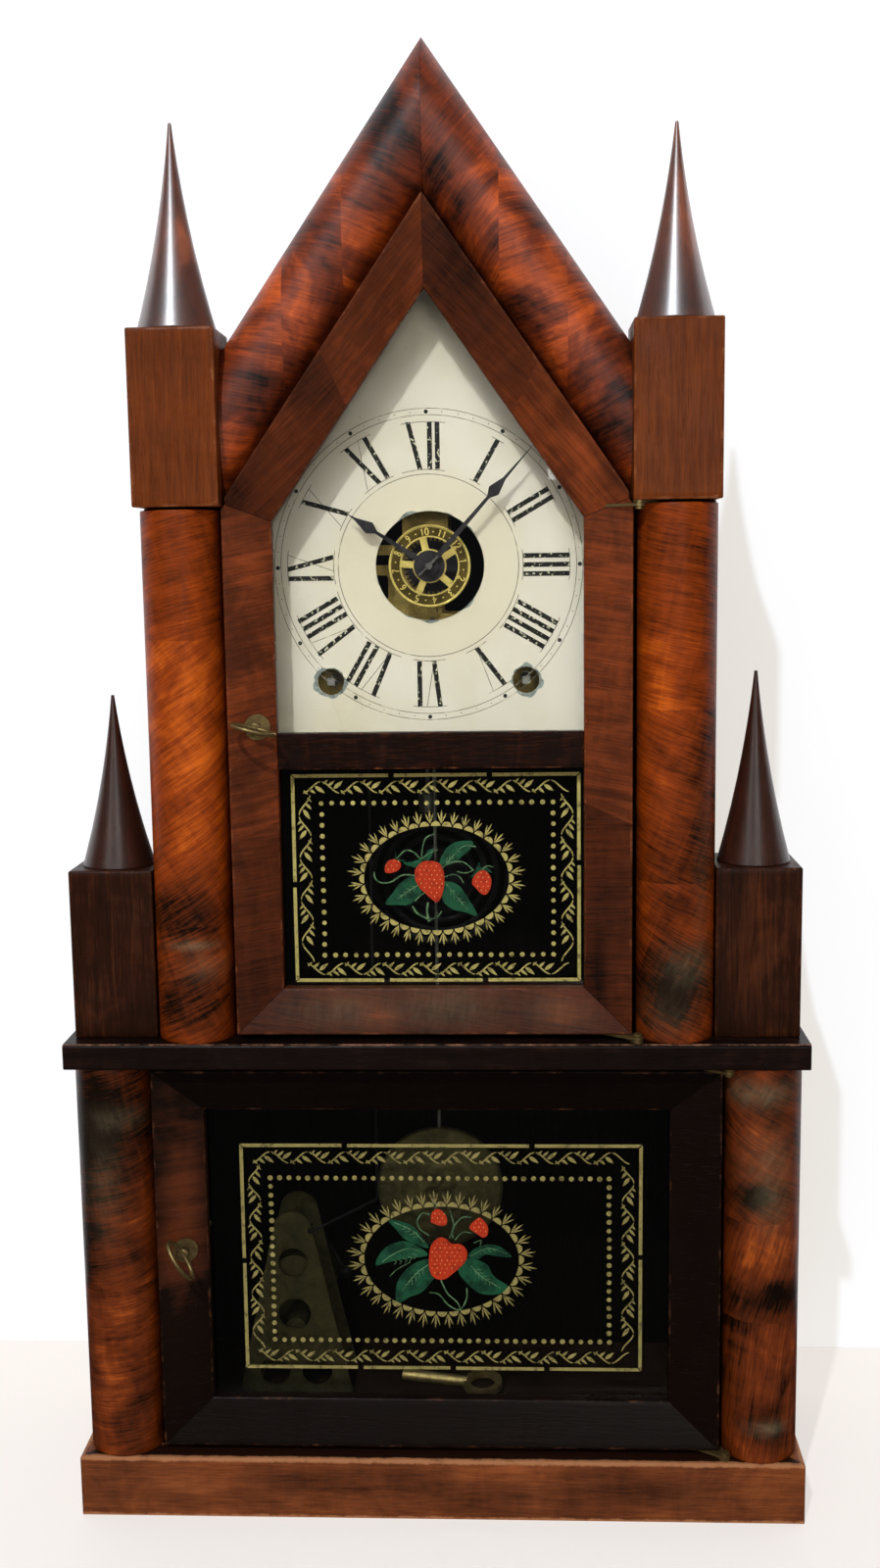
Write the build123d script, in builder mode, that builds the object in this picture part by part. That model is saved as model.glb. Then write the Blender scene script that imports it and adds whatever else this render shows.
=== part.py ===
from build123d import *
from math import cos, degrees, hypot, pi, radians, sin, sqrt, tan
import os

# Double steeple clock: wooden case, two doors, dial, movement, gong and alarm.
# Millimetres. X runs to the right and Y into the clock, seen from the front. Z is up.
# The origin lies under the base, midway between its ends and between its front and back.

os.makedirs("parts", exist_ok=True)

# One overrun serves all cuts, and one play parts pieces that pass each other
overrun = 3.0
play = 0.3
bearing_play = 0.05

# Case
case_depth = 120.0
front_setback = 24.0
front_board = 6.0
back_board = 6.0
side_board = 8.0
roof_board = 8.0
lower_width = 330.0
lower_height = 186.0
plinth_height = 29.3
plinth_board = 12.0
plinth_reach = 2.0
shelf_thick = 11.8
shelf_reach = 1.0
shelf_edge_round = 1.5
shelf_window_inset = 60.0
shelf_window_margin = 6.0
upper_height = 236.4
upper_set_in = 39.8
roof_pitch = 55.1
eave_rise = 14.1

# Columns, blocks, spires and gable mouldings
column_radius = 17.5
column_flank = 6.5
block_width = 37.4
block_depth = 35.0
block_height = 74.4
small_block_width = 37.8
small_block_depth = 38.0
small_block_height = 76.7
small_block_setback = 10.6
tall_spire_radius = 17.1
small_spire_radius = 16.4
tall_spire_heights = {"left": 85.7, "right": 81.2}
small_spire_heights = {"left": 77.4, "right": 85.4}
spire_tip_radius = 0.7
spire_waist_share = 0.41
moulding_width = 36.6
moulding_rise = 16.5
moulding_gap = 1.0

# Doors
door_front_setback = 6.0
door_bevel = 7.0
door_lip = 5.5
rebate_width = 4.0
door_lap = 6.0
pane_thick = 2.0
pane_lap = 3.7
upper_stile_width = 20.7
upper_rail_width = 19.5
gable_rail_width = 21.5
upper_door_gap = 2.0
shoulder_gap = 1.6
mid_rail_height = 16.2
tablet_share = 0.42
lower_stile_width = 22.6
lower_rail_width = 20.3
lower_door_gap = 1.4

# Door hinges: flat leaves that turn on riveted pins
leaf_thick = 1.2
leaf_play = 0.2
eye_radius = 2.6
leaf_tail_radius = 3.6
leaf_reach = 15.0
leaf_back = 11.0
pin_radius = 1.1
pin_play = 0.06
pin_head_radius = 1.9
pin_head_thick = 1.0
hinge_side = 2.2
hinge_proud = 2.2

# Door latches: a turning bow in front, a catch behind the front frame
latch_inset = 12.4
upper_latch_rise = 138.3
lower_latch_rise = 94.5
latch_shaft_radius = 1.75
escutcheon_radius = 5.7
escutcheon_thick = 1.0
escutcheon_play = 0.15
latch_collar_radius = 2.6
latch_collar_front = 2.6
latch_collar_back = 0.4
bow_half_width = 10.5
bow_half_depth = 7.2
bow_bar = 2.8
bow_thick = 2.4
catch_thick = 1.4
catch_radius = 2.0
catch_reach = 7.5
upper_bow_tilt = 14.0
lower_bow_tilt = 58.0

# Dial and the strips that carry it
dial_centre_drop = 26.6
dial_thick = 0.8
dial_side_margin = 24.5
dial_bottom_lap = 3.5
dial_strip_thick = 5.2
dial_strip_width = 9.6
dial_margin = 12.0
dial_hole_radius = 24.2
winding_hole_radius = 6.0
winding_drop = 51.3
time_arbor_x = 42.5
strike_arbor_x = -45.5

# Movement frame
movement_setback = 22.8
plate_thick = 1.5
plate_space_share = 0.6147
plate_width = 128.0
plate_rise = 48.0
plate_fall = 82.0
plate_corner = 6.0
plate_window_round = 1.5
plate_window_side = 50.0
left_window_edges = (-13.6, -17.5, -20.5)
left_window_spans = ((9.7, 38.0), (0.4, 5.2), (-15.3, -4.1))
right_window_edges = (7.5, 4.0)
right_window_spans = ((-7.0, 38.0), (-22.0, -7.0))
pillar_radius = 3.0
pillar_inset = 6.0

# Wheels and arbors
arbor_radius = 1.5
centre_wheel_radius = 16.0
centre_wheel_teeth = 48
winding_arbor_radius = 2.4
winding_square = 3.3
great_wheel_radius = 24.0
great_wheel_teeth = 48
ratchet_radius = 9.0
ratchet_teeth = 12
wheel_thick = 1.5
tooth_depth = 1.6
tooth_rise_share = 0.12
tooth_top_share = 0.42
tooth_fall_share = 0.54
crossing_place_share = 0.56
crossing_radius_share = 0.24
centre_crossings = 5
great_crossings = 6
escape_radius = 15.0
escape_teeth = 32
escape_crossings = 5
escape_drop = 46.9
escape_proud = 7.0
escape_arbor_radius = 1.2
verge_drop = 24.9
verge_arbor_radius = 1.0
pallet_half_span = 8.5
pallet_gap = 1.3
strip_thick = 1.0
crutch_length = 40.0
crutch_wire = 0.5

# Hands, motion work and alarm disc
hand_thick = 0.8
minute_length = 70.4
minute_angle = 41.8
minute_boss_radius = 4.0
hour_length = 42.9
hour_angle = -57.1
hour_boss_radius = 6.9
hand_root_width = 2.8
hand_neck_width = 1.4
hand_leaf_width = 5.6
minute_leaf_share = 0.615
hour_leaf_share = 0.73
leaf_heel = 3.6
leaf_point = 7.0
hour_pipe_radius = 3.2
hour_wheel_radius = 13.0
hour_wheel_teeth = 36
minute_proud = 8.6
hour_proud = 6.0
alarm_disc_proud = 3.6
alarm_disc_radius = 18.2
alarm_ring_width = 5.5
alarm_disc_thick = 1.0
alarm_hub_radius = 7.5
alarm_spoke_width = 3.0
alarm_spokes = 5
alarm_disc_turn = 13.0
taper_pin_radius = 0.6
taper_pin_length = 12.0

# Pendulum
bob_rise_share = 0.6086
pendulum_setback = 11.8
rod_radius = 0.8
bob_radius = 30.0
bob_thick = 8.0
bob_rim = 1.0
stud_radius = 2.5
rod_seat = 12.0

# Gong and strike hammer
gong_forward = 4.25
gong_x = -3.0
gong_rise = 50.9
gong_wire = 2.5
gong_pitch = 5.6
gong_first_radius = 14.0
gong_half_turns = 8
gong_gap_steps = 60
gong_boss_radius = 6.0
gong_plate_radius = 17.0
gong_plate_thick = 6.0
hammer_x = -6.0
hammer_drop = 70.9
hammer_head_radius = 4.5
hammer_head_length = 9.0
hammer_wire = 1.0
hammer_gap = 0.5

# Alarm
alarm_x = -73.6
alarm_setback = 1.0
alarm_space_share = 0.4393
alarm_top = 124.4
alarm_top_radius = 9.5
alarm_foot_half = 28.0
alarm_pillar_radius = 2.5
alarm_hole_radii = (7.4, 8.2)
alarm_hole_heights = (98.0, 71.3)
alarm_foot_hole_radius = 7.5
alarm_foot_hole_half = 10.5
alarm_foot_hole_height = 41.0
alarm_drum_radius = 10.2
alarm_drum_height = 89.5
alarm_arbor_radius = 5.0
alarm_arbor_height = 62.0
bell_radius = 18.0
bell_gap_share = 0.158
bell_depth_share = 0.456
bell_wall = 1.6
bell_height = 76.0
bell_post_radius = 2.0
alarm_hammer_x = -67.5
alarm_hammer_height = 107.0
alarm_hammer_radius = 3.0
alarm_hammer_gap = 0.6
trip_wire_radius = 0.6
trip_wire_bend = 2.4
trip_wire_x = -31.0
trip_wire_knee = 133.0
trip_wire_proud = 3.0

# Winding key, lying on the base board
key_shank_radius = 2.8
key_shank_length = 33.0
key_bow_half = 9.5
key_bow_bar = 3.2
key_thick = 3.0
key_start = (-21.2, 13.4)
key_turn = -10.7

# Places worked out from the sizes above
front_y = -case_depth / 2
rear_y = case_depth / 2
face_y = front_y + front_setback
frame_back_y = face_y + front_board
inner_back_y = rear_y - back_board
lower_half = lower_width / 2
upper_half = lower_half - upper_set_in
plinth_half = lower_half + plinth_reach
shelf_half = lower_half + shelf_reach
shelf_bottom = plinth_height + lower_height
shelf_top = shelf_bottom + shelf_thick
slope = tan(radians(roof_pitch))
lean = 1 / cos(radians(roof_pitch))
block_base = shelf_top + upper_height
apex_height = block_base + eave_rise + slope * upper_half
block_outer = upper_half
block_inner = upper_half - block_width
block_back_y = front_y + block_depth
block_top = block_base + block_height
column_top = block_base - leaf_thick
hinge_room = 2 * leaf_thick + leaf_play

door_front = front_y + door_front_setback
door_back = face_y - play
sight_front = door_front + door_bevel
rebate_front = sight_front + door_lip
upper_door_half = upper_half - 2 * column_radius - upper_door_gap
lower_door_half = lower_half - 2 * column_radius - lower_door_gap
upper_door_bottom = shelf_top + hinge_room
lower_door_bottom = plinth_height + hinge_room
lower_door_top = shelf_bottom - hinge_room
shoulder_half = block_inner - shoulder_gap
ledge_height = column_top - leaf_play
door_inset = moulding_width + moulding_gap
sight_inset = door_inset + gable_rail_width
opening_inset = door_inset + door_lap
dial_inset = sight_inset - dial_margin
upper_sight_half = upper_door_half - upper_stile_width
lower_sight_half = lower_door_half - lower_stile_width
upper_sight_bottom = upper_door_bottom + upper_rail_width
mid_rail_bottom = upper_sight_bottom + tablet_share * upper_height
mid_rail_top = mid_rail_bottom + mid_rail_height
hinge_y = door_front - hinge_proud
upper_hinge_x = upper_door_half + hinge_side
lower_hinge_x = lower_door_half + hinge_side
dial_front = frame_back_y + dial_strip_thick
dial_half = upper_sight_half + dial_side_margin
dial_bottom = mid_rail_bottom + dial_bottom_lap
dial_centre_height = block_base - dial_centre_drop
front_plate_front = dial_front + movement_setback
front_plate_back = front_plate_front + plate_thick
plate_space = plate_space_share * (inner_back_y - front_plate_back)
back_plate_front = front_plate_back + plate_space
back_plate_back = back_plate_front + plate_thick
minute_front = dial_front - minute_proud
hour_front = dial_front - hour_proud
alarm_disc_front = dial_front - alarm_disc_proud
pendulum_y = dial_front + pendulum_setback
gong_y = (back_plate_back + inner_back_y) / 2 - gong_forward
gong_height = shelf_top + gong_rise
alarm_front = front_plate_front + alarm_setback
alarm_plate_back = alarm_front + plate_thick
alarm_rear = alarm_plate_back + alarm_space_share * (inner_back_y - alarm_plate_back)
bell_room = inner_back_y - alarm_rear - plate_thick
bell_depth = bell_depth_share * bell_room
trip_wire_y = front_plate_front - trip_wire_proud
winding_height = dial_centre_height - winding_drop
escape_height = dial_centre_height - escape_drop
verge_height = dial_centre_height - verge_drop
hammer_height = dial_centre_height - hammer_drop


def facing(y):
    """The upright plane at depth y, whose sketch x is X and whose sketch y is Z."""
    return Plane.XZ.offset(-y)


def roof_height(x, inset=0.0):
    """Height of the roof's line at x, moved square into the case by inset."""
    return apex_height - inset * lean - slope * abs(x)


def house(half, bottom, inset):
    """Corners of a gabled outline, clockwise from the lower left, seen from the front."""
    shoulder = roof_height(half, inset)
    return [(-half, bottom), (-half, shoulder), (0, roof_height(0, inset)), (half, shoulder), (half, bottom)]


def rectangle(half, bottom, top):
    """Corners of an upright rectangle, clockwise from the lower left, seen from the front."""
    return [(-half, bottom), (-half, top), (half, top), (half, bottom)]


def save(piece, name):
    """Label a finished piece and write it to its own file."""
    piece.label = name
    export_step(piece, f"parts/{name}.step")


def group(pieces):
    """Several separate solids that share one file."""
    return Compound([solid for piece in pieces for solid in piece.solids()])


def board(x_span, y_span, z_span):
    """A plain board between two places along each axis."""
    low = [min(span) for span in (x_span, y_span, z_span)]
    high = [max(span) for span in (x_span, y_span, z_span)]
    middle = [(a + b) / 2 for a, b in zip(low, high)]
    with BuildPart() as piece:
        with Locations(tuple(middle)):
            Box(*[b - a for a, b in zip(low, high)])
    return piece.part


def panel(points, front, back):
    """A flat piece with the given outline, seen from the front, between two depths."""
    with BuildPart() as piece:
        with BuildSketch(facing(back)):
            with BuildLine():
                Polyline(*points, close=True)
            make_face()
        extrude(amount=back - front)
    return piece.part


def rod(x, z, radius, front, back):
    """A round rod along Y."""
    with BuildPart() as piece:
        with BuildSketch(facing(back)):
            with Locations((x, z)):
                Circle(radius)
        extrude(amount=back - front)
    return piece.part


# Base

plinth_inner = plinth_half - plinth_board
plinth_inner_y = front_y + plinth_board


def plinth_strip(corners):
    """One mitred strip of the base moulding, from its outline seen from above."""
    with BuildPart() as strip:
        with BuildSketch():
            with BuildLine():
                Polyline(*corners, close=True)
            make_face()
        extrude(amount=plinth_height)
    return strip.part


front_strip = plinth_strip([
    (-plinth_half, front_y), (plinth_half, front_y),
    (plinth_inner, plinth_inner_y), (-plinth_inner, plinth_inner_y),
])
side_strips = [
    plinth_strip([
        (side * plinth_half, front_y), (side * plinth_inner, plinth_inner_y),
        (side * plinth_inner, rear_y), (side * plinth_half, rear_y),
    ])
    for side in (-1, 1)
]
save(group([front_strip] + side_strips), "plinth")
save(board((-plinth_inner, plinth_inner), (plinth_inner_y, rear_y), (0, plinth_height)), "base_board")

# Lower case

save(group([
    board(
        (side * lower_half, side * (lower_half - side_board)),
        (frame_back_y, inner_back_y),
        (plinth_height, shelf_bottom),
    )
    for side in (-1, 1)
]), "lower_sides")

with BuildPart() as lower_front_frame:
    with BuildSketch(facing(frame_back_y)):
        with BuildLine():
            Polyline(*rectangle(lower_half, plinth_height, shelf_bottom), close=True)
        make_face()
        with BuildLine():
            Polyline(*rectangle(
                lower_door_half - door_lap, lower_door_bottom + door_lap, lower_door_top - door_lap
            ), close=True)
        make_face(mode=Mode.SUBTRACT)
    extrude(amount=front_board)
save(lower_front_frame.part, "lower_front_frame")


def column(centre, bottom, top):
    """A half-round column with short straight flanks, its flat back on the front frame."""
    arc_y = face_y - column_flank
    with BuildPart() as piece:
        with BuildSketch(Plane.XY.offset(bottom)):
            with BuildLine():
                Line((centre + column_radius, face_y), (centre + column_radius, arc_y))
                ThreePointArc(
                    (centre + column_radius, arc_y),
                    (centre, arc_y - column_radius),
                    (centre - column_radius, arc_y),
                )
                Line((centre - column_radius, arc_y), (centre - column_radius, face_y))
                Line((centre - column_radius, face_y), (centre + column_radius, face_y))
            make_face()
        extrude(amount=top - bottom)
    return piece.part


def spire(centre_x, centre_y, base, radius, height):
    """A turned spire: its outline is one hollow arc from the foot to the tip."""
    upright = Plane(origin=(centre_x, centre_y, base), x_dir=(1, 0, 0), z_dir=(0, -1, 0))
    with BuildPart() as piece:
        with BuildSketch(upright):
            with BuildLine():
                Line((0, 0), (radius, 0))
                ThreePointArc(
                    (radius, 0), (radius * spire_waist_share, height / 2), (spire_tip_radius, height)
                )
                Line((spire_tip_radius, height), (0, height))
                Line((0, height), (0, 0))
            make_face()
        revolve(axis=Axis((centre_x, centre_y, base), (0, 0, 1)))
    return piece.part


small_block_front = front_y + small_block_setback
small_block_top = shelf_top + small_block_height
spire_y = front_y + block_depth / 2
small_spire_y = small_block_front + small_block_depth / 2

for side_name, side in (("left", -1), ("right", 1)):
    lower_x = side * (lower_half - column_radius)
    upper_x = side * (upper_half - column_radius)
    save(column(lower_x, plinth_height, shelf_bottom), f"lower_column_{side_name}")
    save(column(upper_x, shelf_top, column_top), f"upper_column_{side_name}")
    save(board(
        (side * upper_half, side * (upper_half + small_block_width)),
        (small_block_front, small_block_front + small_block_depth),
        (shelf_top, small_block_top),
    ), f"small_block_{side_name}")
    save(spire(
        side * (upper_half + small_block_width / 2), small_spire_y, small_block_top,
        small_spire_radius, small_spire_heights[side_name],
    ), f"small_spire_{side_name}")
    save(board(
        (side * block_outer, side * block_inner), (front_y, block_back_y), (block_base, block_top),
    ), f"upper_block_{side_name}")
    save(spire(
        side * (block_outer + block_inner) / 2, spire_y, block_top,
        tall_spire_radius, tall_spire_heights[side_name],
    ), f"tall_spire_{side_name}")

with BuildPart() as shelf:
    shelf_front = front_y - shelf_reach
    with Locations((0, (shelf_front + rear_y) / 2, (shelf_bottom + shelf_top) / 2)):
        Box(2 * shelf_half, rear_y - shelf_front, shelf_thick)
    fillet(shelf.edges().filter_by(Axis.X).group_by(Axis.Y)[0], radius=shelf_edge_round)
    window_front = frame_back_y + shelf_window_margin
    window_back = inner_back_y - shelf_window_margin
    with Locations((0, (window_front + window_back) / 2, (shelf_bottom + shelf_top) / 2)):
        Box(
            2 * (lower_half - shelf_window_inset), window_back - window_front, shelf_thick + overrun,
            mode=Mode.SUBTRACT,
        )
save(shelf.part, "shelf")

# Upper case

with BuildPart() as upper_front_frame:
    with BuildSketch(facing(frame_back_y)):
        with BuildLine():
            Polyline(
                (-upper_half, shelf_top), (-upper_half, block_base), (-block_inner, block_base),
                (-block_inner, roof_height(block_inner)), (0, apex_height),
                (block_inner, roof_height(block_inner)), (block_inner, block_base),
                (upper_half, block_base), (upper_half, shelf_top),
                close=True,
            )
        make_face()
        with BuildLine():
            Polyline(
                *house(shoulder_half - door_lap, upper_door_bottom + door_lap, opening_inset), close=True
            )
        make_face(mode=Mode.SUBTRACT)
    extrude(amount=front_board)

strip_inner = dial_half - dial_strip_width / 2
dial_shoulder = roof_height(dial_half, dial_inset)
dial_strips = [
    board(
        (side * strip_inner, side * (strip_inner + dial_strip_width)),
        (frame_back_y, dial_front),
        (dial_bottom, dial_shoulder),
    )
    for side in (-1, 1)
]
save(group([upper_front_frame.part] + dial_strips), "upper_front_frame")


def beside_block(outline, side):
    """A board behind the front frame, cut away where a block stands."""
    with BuildPart() as piece:
        with BuildSketch(facing(inner_back_y)):
            with BuildLine():
                Polyline(*outline, close=True)
            make_face()
        extrude(amount=inner_back_y - frame_back_y)
        with Locations((
            side * (block_inner + block_width / 2 + overrun / 2),
            block_back_y - block_depth / 2,
            block_base + block_height / 2,
        )):
            Box(block_width + overrun, block_depth, block_height, mode=Mode.SUBTRACT)
    return piece.part


side_inner = upper_half - side_board
save(group([
    beside_block([
        (side * side_inner, shelf_top), (side * upper_half, shelf_top),
        (side * upper_half, roof_height(upper_half, roof_board)),
        (side * side_inner, roof_height(side_inner, roof_board)),
    ], side)
    for side in (-1, 1)
]), "upper_sides")
save(group([
    beside_block([
        (0, apex_height), (side * upper_half, roof_height(upper_half)),
        (side * upper_half, roof_height(upper_half, roof_board)), (0, roof_height(0, roof_board)),
    ], side)
    for side in (-1, 1)
]), "roof_boards")
save(group([
    panel(rectangle(lower_half, plinth_height, shelf_bottom), inner_back_y, rear_y),
    panel(house(upper_half, shelf_top, 0), inner_back_y, rear_y),
]), "back_boards")


def mitre(corner, sight, into):
    """The cutting plane through an outer corner and its sight corner, facing into the member."""
    across_x, across_z = sight[0] - corner[0], sight[1] - corner[1]
    normal = Vector(across_z, 0, -across_x)
    if normal.dot(into) < 0:
        normal = normal * -1
    return Plane(origin=(corner[0], 0, corner[1]), x_dir=(0, 1, 0), z_dir=normal)


def member_frame(start, end):
    """A plane across a member's start, whose x points inwards and whose y is Y, with its run."""
    run = Vector(end[0] - start[0], 0, end[1] - start[1])
    along = run.normalized()
    inward = Vector(along.Z, 0, -along.X)
    return along, inward, run.length


def mitred_member(start, end, sight_start, sight_end, draw_profile, spare):
    """A straight member of a frame, with its profile drawn by draw_profile, mitred at both ends."""
    along, inward, length = member_frame(start, end)
    origin = Vector(start[0], 0, start[1]) - along * spare
    with BuildPart() as member:
        with BuildSketch(Plane(origin=origin, x_dir=inward, z_dir=along)):
            with BuildLine():
                draw_profile()
            make_face()
        extrude(amount=length + 2 * spare)
        split(bisect_by=mitre(start, sight_start, along), keep=Keep.TOP)
        split(bisect_by=mitre(end, sight_end, along * -1), keep=Keep.TOP)
    return member.part


def moulding_profile():
    """A half-round moulding on the front frame."""
    ThreePointArc((0, face_y), (moulding_width / 2, face_y - moulding_rise), (moulding_width, face_y))
    Line((moulding_width, face_y), (0, face_y))


def door_profile(width):
    """A door member: bevelled face, sight lip, and a rebate behind for the glass."""
    def draw():
        Polyline(
            (0, door_front), (width, sight_front), (width, rebate_front),
            (width - rebate_width, rebate_front), (width - rebate_width, door_back), (0, door_back),
            close=True,
        )
    return draw


gable_foot = roof_height(block_inner)
under_apex = (0, apex_height - moulding_width)
save(mitred_member(
    (-block_inner, gable_foot), (0, apex_height),
    (-block_inner, gable_foot - moulding_width), under_apex, moulding_profile, 2 * moulding_width,
), "gable_moulding_left")
save(mitred_member(
    (0, apex_height), (block_inner, gable_foot),
    under_apex, (block_inner, gable_foot - moulding_width), moulding_profile, 2 * moulding_width,
), "gable_moulding_right")

# Upper door

upper_outer = house(upper_door_half, upper_door_bottom, door_inset)
upper_sight = house(upper_sight_half, upper_sight_bottom, sight_inset)
upper_widths = [upper_stile_width, gable_rail_width, gable_rail_width, upper_stile_width, upper_rail_width]
upper_hinge = (upper_hinge_x, hinge_y)
lower_hinge = (lower_hinge_x, hinge_y)
door_depth = door_back - door_front


def door_member(outer, sight, widths, index):
    """One member of a door frame, between two corners of its outline."""
    following = (index + 1) % len(outer)
    return mitred_member(
        outer[index], outer[following], sight[index], sight[following],
        door_profile(widths[index]), 2 * widths[index],
    )


def shoulder_cut(piece):
    """The step at each shoulder, where the door passes between the upper blocks."""
    with BuildPart() as stepped:
        add(piece)
        for side in (-1, 1):
            with Locations((
                side * (shoulder_half + overrun),
                (door_front + door_back) / 2,
                ledge_height + block_height / 2,
            )):
                Box(2 * overrun, door_depth + 2 * overrun, block_height, mode=Mode.SUBTRACT)
    return stepped.part


def leaf_outline(eye, tail):
    """A leaf's outline: an eye and a round tail with straight sides between."""
    with Locations(eye):
        Circle(eye_radius)
    with Locations(tail):
        Circle(leaf_tail_radius)
    make_hull()


def door_tail(eye):
    """Where a door leaf ends, in the door's corner."""
    return (eye[0] - leaf_reach, eye[1] + leaf_back)


def shaft_hole(piece, x, z, radius):
    """A hole along Y, right through a piece."""
    with BuildPart() as drilled:
        add(piece)
        with BuildSketch(facing(door_back + overrun)):
            with Locations((x, z)):
                Circle(radius)
        extrude(amount=door_depth + 2 * overrun, mode=Mode.SUBTRACT)
    return drilled.part


upper_latch_x = -(upper_door_half - latch_inset)
upper_latch_z = upper_door_bottom + upper_latch_rise
lower_latch_x = -(lower_door_half - latch_inset)
lower_latch_z = lower_door_bottom + lower_latch_rise
latch_hole = latch_shaft_radius + bearing_play

upper_members = [
    shoulder_cut(door_member(upper_outer, upper_sight, upper_widths, index))
    for index in range(len(upper_outer))
]
left_stile, left_gable, right_gable, right_stile, bottom_rail = upper_members


def leaf_mortise(piece):
    """The slot for the upper hinge's leaf, across the joint of the stile and the gable rail."""
    with BuildPart() as slotted:
        add(piece)
        with BuildSketch(Plane.XY.offset(ledge_height - leaf_thick)):
            leaf_outline(upper_hinge, door_tail(upper_hinge))
        extrude(amount=leaf_thick, mode=Mode.SUBTRACT)
    return slotted.part


save(group([
    shaft_hole(left_stile, upper_latch_x, upper_latch_z, latch_hole), leaf_mortise(right_stile),
]), "upper_door_stiles")
save(group([left_gable, leaf_mortise(right_gable)]), "upper_door_gable_rails")

with BuildPart() as mid_rail:
    with BuildSketch(facing(rebate_front)):
        with BuildLine():
            Polyline(*rectangle(upper_sight_half, mid_rail_bottom, mid_rail_top), close=True)
        make_face()
    extrude(amount=door_lip)
    with BuildSketch(facing(door_back)):
        with BuildLine():
            Polyline(*rectangle(
                upper_sight_half + rebate_width, mid_rail_bottom + rebate_width, mid_rail_top - rebate_width
            ), close=True)
        make_face()
    extrude(amount=door_back - rebate_front)
save(group([mid_rail.part, bottom_rail]), "upper_door_cross_rails")

pane_back = rebate_front + pane_thick
save(panel(
    house(upper_sight_half + pane_lap, mid_rail_top - pane_lap, sight_inset - pane_lap),
    rebate_front, pane_back,
), "dial_glass")
save(panel(
    rectangle(upper_sight_half + pane_lap, upper_sight_bottom - pane_lap, mid_rail_bottom + pane_lap),
    rebate_front, pane_back,
), "upper_tablet")

# Lower door

lower_outer = rectangle(lower_door_half, lower_door_bottom, lower_door_top)
lower_sight = rectangle(
    lower_sight_half, lower_door_bottom + lower_rail_width, lower_door_top - lower_rail_width
)
lower_widths = [lower_stile_width, lower_rail_width, lower_stile_width, lower_rail_width]
lower_members = [
    door_member(lower_outer, lower_sight, lower_widths, index) for index in range(len(lower_outer))
]
save(group([
    shaft_hole(lower_members[0], lower_latch_x, lower_latch_z, latch_hole), lower_members[2],
]), "lower_door_stiles")
save(group([lower_members[1], lower_members[3]]), "lower_door_rails")
save(panel(rectangle(
    lower_sight_half + pane_lap,
    lower_door_bottom + lower_rail_width - pane_lap,
    lower_door_top - lower_rail_width + pane_lap,
), rebate_front, pane_back), "lower_tablet")

# Hinges


def door_leaf(eye, low):
    """The door's half of a hinge, bored for the pin."""
    with BuildPart() as leaf:
        with BuildSketch(Plane.XY.offset(low)):
            leaf_outline(eye, door_tail(eye))
            with Locations(eye):
                Circle(pin_radius + pin_play, mode=Mode.SUBTRACT)
        extrude(amount=leaf_thick)
    return leaf.part


def case_leaf(eye, tail, low, pin_up):
    """The case's half of a hinge, with its riveted pin and the pin's head."""
    pin_length = leaf_play + leaf_thick + leaf_play
    pin_low = low + leaf_thick if pin_up else low - pin_length
    head_low = pin_low + pin_length if pin_up else pin_low - pin_head_thick
    with BuildPart() as leaf:
        with BuildSketch(Plane.XY.offset(low)):
            leaf_outline(eye, tail)
        extrude(amount=leaf_thick)
        with BuildSketch(Plane.XY.offset(pin_low)):
            with Locations(eye):
                Circle(pin_radius)
        extrude(amount=pin_length)
        with BuildSketch(Plane.XY.offset(head_low)):
            with Locations(eye):
                Circle(pin_head_radius)
        extrude(amount=pin_head_thick)
    return leaf.part


def behind(eye):
    """Where a case leaf ends when it runs back beside a column."""
    return (eye[0] - eye_radius - leaf_tail_radius / 2 - play, eye[1] + leaf_back)


block_tail = (block_inner + eye_radius + leaf_tail_radius + pin_head_radius, hinge_y + leaf_back)
save(group([
    case_leaf(upper_hinge, behind(upper_hinge), shelf_top, True),
    case_leaf(upper_hinge, block_tail, column_top, False),
    case_leaf(lower_hinge, behind(lower_hinge), plinth_height, True),
    case_leaf(lower_hinge, behind(lower_hinge), shelf_bottom - leaf_thick, False),
]), "case_hinge_leaves")
save(group([
    door_leaf(upper_hinge, upper_door_bottom - leaf_thick),
    door_leaf(upper_hinge, ledge_height - leaf_thick),
]), "upper_door_hinge_leaves")
save(group([
    door_leaf(lower_hinge, lower_door_bottom - leaf_thick),
    door_leaf(lower_hinge, lower_door_top),
]), "lower_door_hinge_leaves")

# Latches


def escutcheon(x, z, stile_width):
    """A thin round plate lying on the stile's bevel, open for the shaft."""
    fall = door_bevel / stile_width
    bevel_y = door_front + fall * latch_inset
    with BuildPart() as plate:
        with BuildSketch(Plane(origin=(x, bevel_y, z), x_dir=(0, 0, 1), z_dir=(fall, -1, 0))):
            Circle(escutcheon_radius)
        extrude(amount=escutcheon_thick)
        with BuildSketch(facing(door_back)):
            with Locations((x, z)):
                Circle(latch_shaft_radius + escutcheon_play)
        extrude(amount=door_depth + overrun, mode=Mode.SUBTRACT)
    return plate.part


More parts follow.
